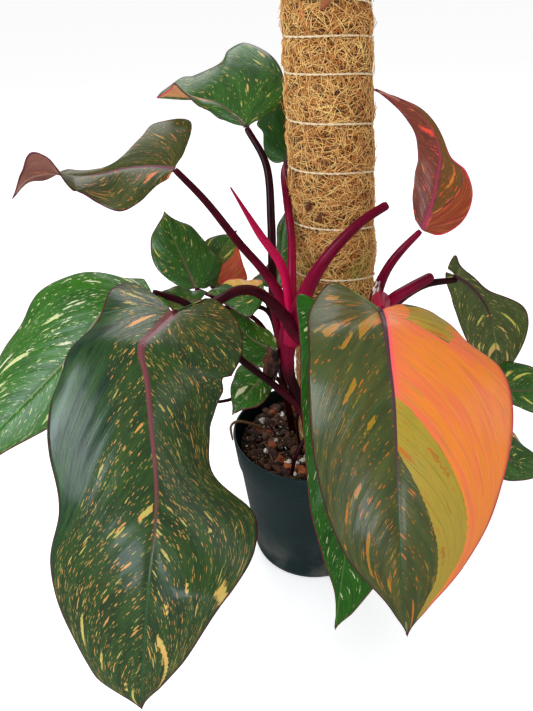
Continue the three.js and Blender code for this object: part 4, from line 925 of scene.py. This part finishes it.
# What a leaf has unless it says otherwise: an upper face turned to the viewer, and the mesh, folds, flecks
# and gloss of the small ones.
PLAIN_LEAF = dict(up=[(0, -0.5, 0.87)], bulge=0.04, rows=40, across=14, left_fold=[8], right_fold=[8],
                  paint="mid", flecks=0.3, patches=0.1, spacing=5, fleck_size=0.7, stalk=1, gloss=1,
                  curls=[], own={})
LEAVES = {
    "leaf_front_left": dict(
        rib=[(-77, -122, 274), (-83, -140, 275), (-88, -154, 274), (-85, -166, 265), (-83, -180, 251),
             (-81, -200, 227), (-87, -216, 190), (-95, -226, 136), (-96, -228, 124)], up=[(0, -0.75, 0.66)],
        left=[(-17, 5), (-31, 9), (-30, 23), (-8, 38), (63, 38), (91, 30), (112, 49), (124, 46), (143, 33),
              (181, 16)], left_fold=[12, 30, 52, 40, 6, 0, 0],
        right=[(-15, 28), (5, 31), (19, 28), (40, 36), (55, 45), (76, 46), (110, 42), (137, 44), (163, 37),
               (198, 19)], right_fold=[12, 8, 4, 4, 4], bulge=0.07, rows=110, across=30,
        curls=[(1, 0.08, 0.28, 6)], paint="dark", flecks=0.62, patches=0.05, spacing=10, fleck_size=0.9,
        stalk=1.5, own={"Green": "2d4f1e", "Olive": "4e5a22", "Rib": "84464c"}),
    "leaf_front_orange": dict(
        rib=[(27, -98, 259), (27, -112, 258), (26.5, -132, 249), (27, -147, 236), (27, -158, 221),
             (28, -174, 185), (31, -186, 142), (34, -190, 118)], up=[(0, -0.7, 0.7)],
        left=[(-8, 11), (-5, 27), (20, 41), (38, 56), (62, 59), (87, 55), (117, 47), (146, 32), (165, 14)],
        left_fold=[10, 6, 4, 4],
        right=[(-17, 11), (-33, 23), (-9, 37), (27, 39), (65, 41), (106, 36), (137, 25), (162, 8)],
        right_fold=[10, 12, 12, 12], bulge=0.06, rows=110, across=30, paint="dark", flecks=0.45,
        patches=0.16, spacing=10, fleck_size=1,
        own={"Olive": "a88f2e", "Orange": "ea8230", "Pink": "e8654e", "Rib": "563840", "Fleck": "957618",
             "Fleck Warm": "bd691e"}),
    "leaf_front_green": dict(
        rib=[(3, -76, 249), (6, -92, 235), (7, -110, 211), (8, -128, 178), (8, -140, 137), (4, -148, 98),
             (2, -150, 73)], up=[(0, -0.75, 0.66)],
        left=[(-3, 13), (10, 25), (42, 30), (80, 30), (121, 28), (154, 22), (184, 8)], left_fold=[4],
        right=[(-8, 7), (-13, 16), (5, 19), (41, 22), (72, 22), (114, 20), (143, 13), (169, 3)],
        right_fold=[4], rows=90, across=20, paint="bright", flecks=0.2, patches=0.02, spacing=10,
        fleck_size=1, gloss=0.5, own={"Green": "27660e", "Deep": "14480a"}),
    "leaf_far_left": dict(
        rib=[(-97, -60, 256), (-119, -70, 254), (-138, -84, 235), (-159, -95, 217), (-183, -104, 197),
             (-216, -112, 165)], up=[(0.05, -0.45, 0.9)],
        left=[(-8, 10), (18, 22), (55, 26), (95, 21), (127, 12), (151, 8)], left_fold=[14, 10, 8],
        right=[(0, 13), (9, 20), (28, 39), (45, 50), (81, 45), (96, 41), (130, 22)], right_fold=[14, 10, 8],
        bulge=0.06, rows=90, across=26, paint="bright", flecks=0.5, patches=0.22, spacing=10, fleck_size=1,
        gloss=0.7),
    "leaf_upper_left": dict(
        rib=[(-86, 10, 306), (-100, 6, 309), (-114, 0, 310), (-128, -6, 309), (-141, -12, 310),
             (-155, -16, 314), (-168, -18, 311), (-179, -20, 300)],
        up=[(0, -0.54, 0.84)] * 6 + [(0, -0.3, 0.95), (0, 0.5, 0.85), (0, 0.8, 0.5), (0, 0.85, 0.4),
                                     (0, 0.85, 0.4)],
        left=[(3, 7), (12, 14), (25, 25), (43, 31), (53, 20), (60, 16), (71, 26), (77, 24), (88, 6)],
        left_fold=[0], right=[(-8, 15), (-14, 42), (7, 38), (17, 23), (35, 6), (50, 5), (75, 9), (90, 2)],
        right_fold=[0], rows=80, across=20, paint="olive", flecks=0.5, spacing=7, fleck_size=0.8),
    "leaf_top_left": dict(
        rib=[(-41, 40, 323), (-50, 48, 330), (-59, 56, 335), (-69, 62, 337), (-84, 66, 337),
             (-100, 68, 338)], up=[(0, -0.6, 0.8)] * 3 + [(0, -0.35, 0.93), (0, -0.25, 0.95)],
        left=[(7, 4), (20, 8), (32, 9), (43, 15), (52, 17), (61, 9)], left_fold=[40, 30, 0, -40, -70, -80],
        right=[(-2, 8), (-1, 31), (14, 46), (27, 53), (35, 54), (39, 47), (40, 35), (50, 27), (60, 23),
               (67, 14)], right_fold=[0, 0, 0, 0, -10], bulge=0.05, rows=80, across=22, flecks=0.28,
        patches=0.05, spacing=7, fleck_size=0.9, own={"Orange": "c98656", "Pink": "c87058"}),
    "leaf_behind_pole": dict(
        rib=[(-14, 66, 293), (-13, 78, 306), (-9, 88, 322), (-1, 98, 340)], up=[(-0.4, -0.5, 0.8)],
        left=[(0, 9), (9, 17), (22, 20), (28, 27), (37, 21), (51, 12)], left_fold=[0],
        right=[(-3, 9), (5, 20), (32, 20), (52, 10)], right_fold=[-6], bulge=0.03, flecks=0.15,
        patches=0.04, spacing=6, fleck_size=0.8),
    "leaf_small_green": dict(
        rib=[(-81, 20, 220), (-87, 30, 232), (-94, 42, 244), (-99, 52, 255), (-102, 58, 263)],
        left=[(0, 5), (8, 12), (23, 19), (38, 18), (51, 11)],
        right=[(-3, 7), (2, 18), (11, 25), (23, 22), (32, 20), (45, 15), (56, 5)], rows=44, flecks=0.22,
        patches=0.04, spacing=6, fleck_size=0.8),
    "leaf_small_coral": dict(
        rib=[(-71, 45, 207), (-69, 55, 219), (-63, 66, 230), (-52, 76, 240)],
        left=[(6, 8), (18, 14), (31, 16), (42, 8)], right=[(2, 15), (10, 25), (27, 19), (41, 10)],
        own={"Orange": "c4502e", "Pink": "cc3f44"}),
    "leaf_small_yellow": dict(
        rib=[(-33, -2, 226), (-43, 2, 224), (-56, 8, 221), (-73, 14, 218)],
        left=[(0, 7), (7, 19), (19, 14), (31, 7)], right=[(5, 10), (17, 12), (34, 12), (42, 5)],
        flecks=0.35, own={"Orange": "d0a03a", "Pink": "d08038"}),
    "leaf_small_back": dict(
        rib=[(-24, 45, 206), (-21, 54, 222), (-18, 64, 239), (-14, 72, 258)],
        left=[(0, 11), (3, 19), (11, 12), (27, 4), (47, 5)], right=[(1, 12), (11, 18), (30, 17), (50, 8)],
        right_fold=[4], flecks=0.2, patches=0.05),
    "leaf_small_left": dict(
        rib=[(-76, 0, 220), (-86, -3, 223), (-95, -6, 227), (-103, -10, 232)],
        left=[(3, 6), (16, 11), (27, 5)], right=[(-5, 8), (4, 9), (14, 10), (24, 6)], rows=30, across=12,
        spacing=4, fleck_size=0.6),
    "leaf_small_middle": dict(
        rib=[(-26, -6, 183), (-39, -2, 187), (-51, 4, 196), (-66, 12, 214)],
        left=[(-5, 11), (7, 16), (20, 14), (39, 8)], right=[(2, 8), (10, 13), (30, 11), (42, 6)],
        paint="bright", flecks=0.25, patches=0.08),
    "leaf_small_rim": dict(
        rib=[(-35, -12, 166), (-42, -20, 163), (-49, -28, 159), (-58, -34, 149)],
        left=[(-1, 7), (6, 11), (18, 12), (28, 7)], right=[(-4, 10), (2, 19), (15, 16), (32, 7)], rows=34,
        paint="bright", flecks=0.25),
    "leaf_new_red": dict(
        rib=[(61, -30, 276), (67, -26, 292), (70, -20, 305), (72, -14, 315), (68, -6, 328), (58, 0, 338),
             (47, 6, 344), (35, 10, 349)], up=[(-0.1, -0.7, 0.7)],
        left=[(1, 3), (12, 10), (28, 13), (51, 12), (70, 8), (87, 4)],
        right=[(1, 11), (10, 20), (26, 22), (36, 16), (44, 6), (65, 4), (85, 2)], bulge=-0.03, rows=80,
        across=20, paint="red", flecks=0.4, patches=0.25, spacing=6, fleck_size=0.9),
    "leaf_right_turned": dict(
        rib=[(100, 22, 222), (113, 27, 212), (126, 32, 196), (134, 36, 181), (142, 40, 158),
             (148, 42, 124)], up=[(0.2, 0.9, 0.4)], left=[(-8, 1), (1, 9), (33, 21), (76, 21), (103, 10)],
        left_fold=[10],
        right=[(-9, 1), (-15, 6), (-22, 17), (-9, 11), (3, 8), (28, 9), (47, 25), (62, 26), (84, 20),
               (107, 9)], right_fold=[10], rows=70, across=18, flecks=0.45, patches=0.3, spacing=7,
        fleck_size=1),
    "leaf_right_middle": dict(
        rib=[(129, -2, 142), (144, 0, 138), (161, 2, 136), (179, 2, 132), (196, 0, 126)],
        left=[(5, 13), (18, 26), (28, 26), (38, 22), (55, 12)],
        right=[(2, 9), (17, 11), (30, 17), (54, 13)], rows=44, flecks=0.35, patches=0.15, spacing=6,
        fleck_size=0.8),
    "leaf_right_low": dict(
        rib=[(122, -26, 110), (138, -24, 97), (155, -22, 86), (177, -22, 76)],
        left=[(6, 17), (30, 26), (42, 18), (56, 9)], right=[(1, 16), (24, 17), (41, 12), (55, 5)], rows=44,
        patches=0.15, spacing=6, fleck_size=0.8),
}

# Marks: where a leaf isn't the flecked green of its kind. Each is (kind, side, from and to vein in mm of
# midrib, less than 0 in the lobes, from and to along the vein in mm, how strong, how much the first two shift
# along the vein). warm is orange, olive yellowish, gold a single large fleck and plain has no flecks.
MARK_KINDS = ("warm", "olive", "plain", "gold")
MARKS = {
    "leaf_front_orange": [
        ("warm", -1, -14, 53, -9, 250, 1.0, 0.12), ("warm", -1, -200, -12, -9, 15, 0.9, 0),
        ("warm", -1, -80, 53, 40, 250, 1.0, 0.12), ("warm", -1, 40, 78, 78, 250, 0.9, 0),
        ("olive", -1, -60, -10, 9, 43, 0.9, 0), ("warm", -1, -60, -10, 9, 43, 0.42, 0),
        ("olive", -1, -14, 79, 0, 250, 0.95, 0.7), ("gold", 1, -17, -11, 25, 35, 1.0, 0),
        ("gold", 1, -1, 9, 0, 20, 0.9, 0), ("gold", 1, -51, -46, 25, 32, 1.0, 0),
        ("gold", 1, 24, 29, 25, 38, 0.9, 0), ("gold", 1, -2, 2, 24, 36, 0.8, 0),
        ("gold", 1, 53, 57, 13, 19, 1.0, 0), ("gold", 1, 73, 77, 27, 35, 1.0, 0),
        ("gold", 1, 87, 92, 25, 42, 1.0, 0.4), ("gold", 1, 130, 135, 16, 22, 1.0, 0),
        ("gold", 1, 62, 66, 67, 75, 1.0, 0), ("gold", -1, 95, 100, 38, 47, 1.0, 0),
        ("gold", -1, 62, 66, 20, 40, 0.8, 0)],
    "leaf_front_left": [
        ("plain", 1, -30, 55, 25, 120, 1.0, 0), ("gold", 1, 141, 146, 38, 50, 0.68, 0),
        ("gold", 1, 177, 182, 14, 22, 0.68, 0), ("gold", -1, 157, 162, 13, 70, 0.9, -0.5),
        ("gold", -1, 132, 136, 13, 21, 0.68, 0), ("gold", -1, 111, 115, 26, 34, 0.68, 0),
        ("gold", -1, 131, 137, 63, 103, 0.68, -0.85), ("gold", -1, 85, 89, 34, 40, 0.68, 0),
        ("gold", -1, 59, 64, 62, 69, 0.68, 0), ("gold", 1, 100, 105, 2, 11, 0.68, 0)],
    "leaf_small_coral": [("warm", 1, -200, 14, 6, 60, 1.0, 0), ("olive", 1, 14, 60, 0, 60, 0.8, 0)],
    "leaf_small_yellow": [("warm", 1, -100, 20, 7, 40, 1.0, 0)],
    "leaf_new_red": [("warm", 1, -100, 6, 4, 100, 1.0, 0), ("olive", 1, 8, 60, 3, 60, 1.0, 0)],
    "leaf_upper_left": [("warm", -1, -60, -15, 4, 12, 0.9, 0)],
    "leaf_top_left": [("warm", -1, 28, 100, 2, 40, 0.9, 0)],
    "leaf_small_left": [("olive", -1, -40, 40, 2, 30, 0.9, 0)],
    "leaf_small_middle": [("olive", 1, -10, 12, 3, 40, 0.9, 0)],
    "leaf_small_rim": [("gold", 1, 8, 16, 5, 14, 0.9, 0)],
}
SWEEP = 1.05
REACHED = 0.85
LOBE_FAN = 0.8
DRIP_TIP = 15


def leaf_shape(leaf):
    """Gives the blade's length and a function that lays a flat point of it in space."""
    at, length = smooth_path(leaf["rib"], 40)

    def lay(along, out, side, lift):
        share = min(max(along / length, 0), 1)
        ahead = (at(min(share + TANGENT_STEP, 1)) - at(max(share - TANGENT_STEP, 0))).normalized()
        up = Vector([list_value([u[k] for u in leaf["up"]], share) for k in range(3)])
        face = (up - ahead * up.dot(ahead)).normalized()
        right = ahead.cross(face)
        fold = math.radians(list_value(leaf["left_fold" if side < 0 else "right_fold"], share))
        outward = right * side * math.cos(fold) - face * math.sin(fold)
        above = face * math.cos(fold) + right * side * math.sin(fold) if out > 0.01 else face
        return at(share) + ahead * (along - share * length) + outward * out + above * lift

    return length, lay


def half_widths(margin, length):
    """How far one half reaches out from the midrib, in even steps from the petiole to the tip."""
    line = [margin(i / MARGIN_STEPS) for i in range(MARGIN_STEPS + 1)]
    widths = []
    for step in range(WIDTH_STEPS + 1):
        along = length * step / WIDTH_STEPS
        found = [p.y + (q.y - p.y) * (along - p.x) / (q.x - p.x) for p, q in zip(line, line[1:])
                 if min(p.x, q.x) <= along < max(p.x, q.x)]
        widths.append(max(found, default=0.6))
    return widths


def vein_through(along, out, widths, length):
    """The side vein through a point: where it leaves the midrib, and how far out along it the point is.

    Veins leave at a slant and bend towards the tip. Those of the lobes fan out from the petiole."""
    sweep = SWEEP * max(widths)
    reach = math.hypot(along, out)
    if along > 0:
        root = along + sweep * math.log(1 - REACHED * min(out / list_value(widths, along / length), 1.02))
        if root >= 0:
            return root, math.hypot(out, along - root)
    low, high = 0.0, reach
    for i in range(12):
        middle = (low + high) / 2
        edge = list_value(widths, middle / length) * min((1 - math.exp(-middle / sweep)) / REACHED, 1)
        low, high = (low, middle) if math.hypot(middle, edge) > reach else (middle, high)
    border = math.atan2(edge, middle) if reach > 0.01 else 0.8
    return -LOBE_FAN * max(widths) * max(math.atan2(out, along) - border, 0), reach


def blade(name, leaf):
    """The upper face of a blade: a grid whose rows run from margin to margin over the midrib."""
    length, lay = leaf_shape(leaf)
    margins = [smooth_path([(0, 0, 0)] + [(a, o, 0) for a, o in leaf[side]] + [(length, 0, 0)], 24)[0]
               for side in ("left", "right")]
    widths = [half_widths(margin, length) for margin in margins]
    bm = bmesh.new()
    layers = bm.verts.layers.float
    root_mm, out_mm, rim, rib_gap, share_to_tip = [layers.new(n) for n in (
        "root_mm", "out_mm", "edge_mm", "rib_mm", "tipward")]
    kinds = {kind: layers.new(kind) for kind in MARK_KINDS}
    bmesh.ops.create_grid(bm, x_segments=2 * leaf["across"], y_segments=leaf["rows"], size=1)
    dice = random.Random(leaf["seed"])
    ripple = [dice.uniform(0, 6.3) for i in range(3)]
    spacing = max(5.0, length * 0.055)
    for vert in bm.verts:
        k = FIRST_ROW + (1 - FIRST_ROW) * (vert.co.y + 1) / 2
        v = abs(vert.co.x) ** EDGE_CROWDING
        side = -1 if vert.co.x < 0 else 1
        half = 0 if side < 0 else 1
        end = margins[half](k)
        drip = min(max((length - end.x) / DRIP_TIP, 0), 1) if k > 0.5 else 1
        end = Vector((end.x, end.y * (0.45 + 0.55 * drip * drip * (3 - 2 * drip)), 0))
        start = length * max((k - VEIN_LEAD) / (1 - VEIN_LEAD), 0) ** VEIN_SLANT
        along = start + (end.x - start) * v
        out = end.y * v
        root, way = vein_through(along, out, widths[half], length)
        lift = leaf["bulge"] * end.y * 4 * v * (1 - v)
        lift -= RIB_GROOVE * math.exp(-(out / 1.5) ** 2)
        wave = math.sin(17 * k + ripple[0] + side) + 0.6 * math.sin(37 * k + ripple[1] - side)
        lift += RIPPLE * v * v * wave * min(1, (1 - k) * 8)
        crease = abs(math.sin(math.pi * (root / spacing + ripple[2]))) ** 0.6
        lift += (VEIN_RELIEF * end.y * (crease - 0.6) * math.sin(math.pi * min(v * 1.1, 1))
                 * min(1, (1 - k) * 5))
        for of, k0, k1, rise in leaf["curls"]:
            if of == side and k0 < k < k1:
                lift += rise * v ** 3 * math.sin(math.pi * (k - k0) / (k1 - k0)) ** 2
        vert[root_mm], vert[out_mm] = root, side * way
        vert[rim] = (1 - v) * math.hypot(end.x - start, end.y)
        vert[rib_gap] = out + 0.5 * max(0, -along)
        vert[share_to_tip] = along / length
        for kind, of, root0, root1, out0, out1, much, lean in MARKS.get(name, []):
            if of == side or (out < 0.01 and out0 < 0):
                level = root - lean * way
                soft = 3 if kind == "gold" else 5
                inside = min(level - root0, root1 - level, way - out0, out1 - way) / soft + 0.5
                vert[kinds[kind]] = max(vert[kinds[kind]], much * min(max(inside, 0), 1))
        vert.co = lay(along, out, side, lift) * MM
    veins_map = bm.loops.layers.uv.new("vein")
    for face in bm.faces:
        for loop in face.loops:
            loop[veins_map].uv = (loop.vert[root_mm] / 100, loop.vert[out_mm] / 100)
    bmesh.ops.remove_doubles(bm, verts=bm.verts[:], dist=2e-6)
    return bm


# Each kind's colours, in the order of the sockets; an underside has its own first five.
LEAF_SOCKETS = ("Green", "Deep", "Olive", "Vein", "Rib", "Fleck", "Fleck Warm", "Orange", "Pink", "Margin")
LEAF_COLOURS = {
    "dark": "1c4122 0e2919 2f4a1a 2b5730 8a4653 c6b65c e09c54 ee7f34 ee6d5c 4c1424",
    "mid": "30601e 1a4014 4c641f 4b7c32 5c5a3a cfc85e e0b468 dd7138 d8503e 54202a",
    "bright": "336c17 1b4a12 4a7420 4f8434 6f7a52 dcd9b4 cfd392 d9c04a e0c060 6a1c2c",
    "olive": "465122 2d3a1a 5b561f 68683c 865863 c99a48 e07a48 d97a4a de5f50 5c2030",
    "red": "7d3a2c 5e2a26 66451a 94463a a03050 c8702c e04a38 823818 8c2c22 6e1a2c",
}
UNDERSIDES = {
    "dark": "5f6f45 4a5a38 6f7448 7f8a60 5a2a38",
    "mid": "50602f 3e4d26 6c6836 6e7c48 4a2030",
    "bright": "6f9450 56803f 86a060 94b078 8a6a68",
    "olive": "90584a 7c463e 96604c a5806c 7b4654",
    "red": "8b4a3e 6e3434 8a5a48 a86858 8a2c48",
}

leaf_group, given, result = new_group(
    "leaf_skin", [(socket, "color", paint("808080")) for socket in LEAF_SOCKETS]
    + [(socket, "value", 1.0) for socket in ("Flecks", "Patches", "Size", "Stalk", "Spacing", "Seed")],
    [("Color", "color"), ("Roughness", "value"), ("Height", "value")])
rim_gap, rib_gap, tipward = [attribute(leaf_group, name) for name in ("edge_mm", "rib_mm", "tipward")]
warm_mark, olive_mark, plain_mark, gold_mark = [attribute(leaf_group, name) for name in MARK_KINDS]
parts = field(leaf_group, "ShaderNodeSeparateXYZ", {0: field(leaf_group, "ShaderNodeUVMap", uv_map="vein")})
root_mm = parts * 100.0
out_mm = parts.other(1) * 100.0


def on_vein(width, length, shift):
    """A place on the blade in units of a fleck's width across the veins and its length along them."""
    return field(leaf_group, "ShaderNodeCombineXYZ", {
        0: root_mm / (given["Size"] * width), 1: out_mm / (given["Size"] * length), 2: given["Seed"] + shift})


def streaks(width, length, shift, detail=2.0):
    """Noise drawn out along the side veins, with features of this width and length in mm."""
    return grain(on_vein(width, length, shift), 1.0, detail, 0.6)


cluster = streaks(9.0, 26.0, 2.0, 1.0)
ragged = streaks(0.6, 2.2, 4.0, 3.0)


def flecks(width, length, shift, density):
    """Separate flecks: a mask of those present, and a random number for each fleck's tint."""
    cells = field(leaf_group, "ShaderNodeTexVoronoi", {"Vector": on_vein(width, length, shift), "Scale": 1.0,
                  "Randomness": 1.0}, "Distance", voronoi_dimensions="3D")
    chance = field(leaf_group, "ShaderNodeSeparateXYZ", {0: cells.other("Color")})
    growth = chance.other(1)
    there = chance.reckon("LESS_THAN", chance, density * (cluster * 2.0))
    size = 0.1 + growth.reckon("POWER", growth, 1.6) * 0.42
    inside = size - (cells + (ragged - 0.5) * 0.8)
    return there * step_between(inside, 0.0, 0.05), chance.other(2)


def frayed(edge, grains, amount):
    """A mark's soft edge made ragged along the veins."""
    return step_between(edge + (grains - 0.5) * amount, 0.47, 0.53)


tiny, tiny_tint = flecks(1.0, 3.2, 0.0, given["Flecks"])
small, small_tint = flecks(2.2, 8.0, 5.0, given["Flecks"] * 0.42)
large, large_tint = flecks(7.0, 24.0, 9.0, given["Patches"])
flecked = larger(tiny * (0.3 + tiny_tint * 0.5), larger(small * 0.85, large)) * (1.0 - plain_mark)
fleck_tint = larger(larger(small * small_tint, tiny * tiny_tint), large * large_tint)

vein_count = root_mm / given["Spacing"]
side_vein = step_between(abs(vein_count.reckon("FRACT", vein_count) - 0.5), 0.42, 0.5)
striae = streaks(0.5, 22.0, 12.0)
cloud = streaks(14.0, 40.0, 14.0, 3.0)
mist = streaks(2.0, 9.0, 17.0, 4.0)
haze = (0.6 - plain_mark).held() * (cluster * given["Flecks"])
green = blended(step_between(cloud * 0.6 + mist * 0.4, 0.36, 0.64), given["Deep"], given["Green"])
green = blended(haze, green, given["Olive"])
green = blended(step_between(olive_mark + (mist - 0.5) * 0.9, 0.42, 0.58), green, given["Olive"])
green = blended(side_vein * 0.18, green, given["Vein"])
green = blended(step_between(striae, 0.55, 0.8), green, given["Vein"])
fleck_colour = blended(step_between(fleck_tint, 0.35, 0.75), given["Fleck"], given["Fleck Warm"])
splash_tint = blended(step_between(streaks(1.8, 9.0, 38.0), 0.46, 0.6), given["Fleck"], given["Fleck Warm"])
skin = blended(flecked, green, fleck_colour)
skin = blended(frayed(gold_mark, streaks(1.6, 6.0, 36.0, 3.0), 1.1), skin, splash_tint)

flush = larger(step_between(rib_gap, 15.0, 1.0), step_between(rim_gap, 12.0, 0.0) * 0.7)
flush = larger(flush * step_between(tipward, 0.7, 0.2), step_between(streaks(7.0, 60.0, 24.0), 0.46, 0.62))
slashes = step_between(streaks(1.7, 26.0, 27.0, 1.0), 0.7, 0.72)
orange = blended(flush * 0.6, given["Orange"], given["Pink"])
orange = blended(step_between(striae, 0.5, 0.75) * 0.6, orange, given["Fleck"])
orange = blended(slashes * 0.8, orange, given["Olive"])
orange = blended(side_vein * 0.2, orange, "f58a72")
skin = blended(frayed(warm_mark, streaks(1.6, 16.0, 21.0, 3.0), 0.9), skin, orange)

rib_width = ranged(tipward, 0.0, 0.75, 1.1, 0.3) + ranged(tipward, 0.02, 0.2, 0.5, 0.0)
rib = step_between(rib_gap - rib_width * given["Stalk"], 0.25, -0.25)
# One flank of the raised midrib is tinted towards the dark margin colour: painted shade on that side of the
# rib.
rib_tint = blended(step_between(out_mm, 0.1, -0.5) * 0.4, given["Rib"], given["Margin"])
rib_tint = blended(step_between(tipward, 0.4, 0.7), rib_tint, given["Vein"])
rib_tint = blended(step_between(tipward, 0.95, 1.0), rib_tint, given["Margin"])
rib_tint = blended((streaks(0.8, 1.0, 31.0) - 0.3) * 0.5, rib_tint, given["Deep"])
skin = blended(rib, skin, rib_tint)
beside_rib = warm_mark * (step_between(rib_gap, 3.6, 1.4) * step_between(tipward, 0.45, 0.15))
skin = blended(beside_rib * (1.0 - rib), skin, "f4585c")
skin = blended(step_between(rim_gap, 1.0, 0.45), skin, blended(warm_mark, given["Margin"], "d93a54"))
skin.feed(result["Color"])
(0.22 + mist * 0.16).feed(result["Roughness"])
(side_vein * -0.5 + striae * 0.5 + mist * 0.5).feed(result["Height"])


def leaf_finish(name, leaf, underside):
    """One leaf's own skin, from the colours of its kind."""
    colours = dict(zip(LEAF_SOCKETS, LEAF_COLOURS[leaf["paint"]].split()))
    if underside:
        colours.update(zip(LEAF_SOCKETS, UNDERSIDES[leaf["paint"]].split()))
    colours.update(leaf["own"])
    values = {socket: paint(code) for socket, code in colours.items()}
    values["Flecks"] = leaf["flecks"] * (0.6 if underside else 1)
    values["Patches"] = leaf["patches"]
    values["Size"] = leaf["fleck_size"]
    values["Spacing"] = leaf["spacing"]
    values["Stalk"] = leaf["stalk"]
    values["Seed"] = leaf["seed"] * 10.0
    material, shader = new_finish(name, 0.35, Specular_IOR_Level=0.3 * leaf["gloss"],
                                  Coat_Weight=0.0 if underside else 0.22 * leaf["gloss"], Coat_Roughness=0.16)
    skin = field(shader.id_data, "ShaderNodeGroup", values, node_tree=leaf_group)
    cover(shader, skin, skin.other("Height"), 0.3, 0.0006)
    skin.other("Roughness").feed(shader.inputs["Roughness"])
    return material


RIB_THICKNESS = 2.2
BLADE_SHARE = 0.3
for seed, (name, traits) in enumerate(LEAVES.items(), 1):
    leaf = {**PLAIN_LEAF, **traits, "seed": seed}
    upper = blade(name, leaf)
    gap, to_tip = (upper.verts.layers.float[n] for n in ("rib_mm", "tipward"))
    thick = [min(1, max(0, 1 - v[gap] / 3.2)) * min(1, max(0, 1.05 - v[to_tip])) for v in upper.verts]
    finishes = [leaf_finish(name + "_upper", leaf, False), leaf_finish(name + "_under", leaf, True)]
    piece = place_piece(name + "_blade", upper, finishes, [name])
    ridge = piece.vertex_groups.new(name="midrib")
    for index, weight in enumerate(thick):
        ridge.add([index], weight, "REPLACE")
    wall = piece.modifiers.new("wall", "SOLIDIFY")
    wall.thickness = RIB_THICKNESS * MM
    wall.offset = -1
    wall.vertex_group = "midrib"
    wall.thickness_vertex_group = BLADE_SHARE
    wall.material_offset = 1
    wall.material_offset_rim = 1
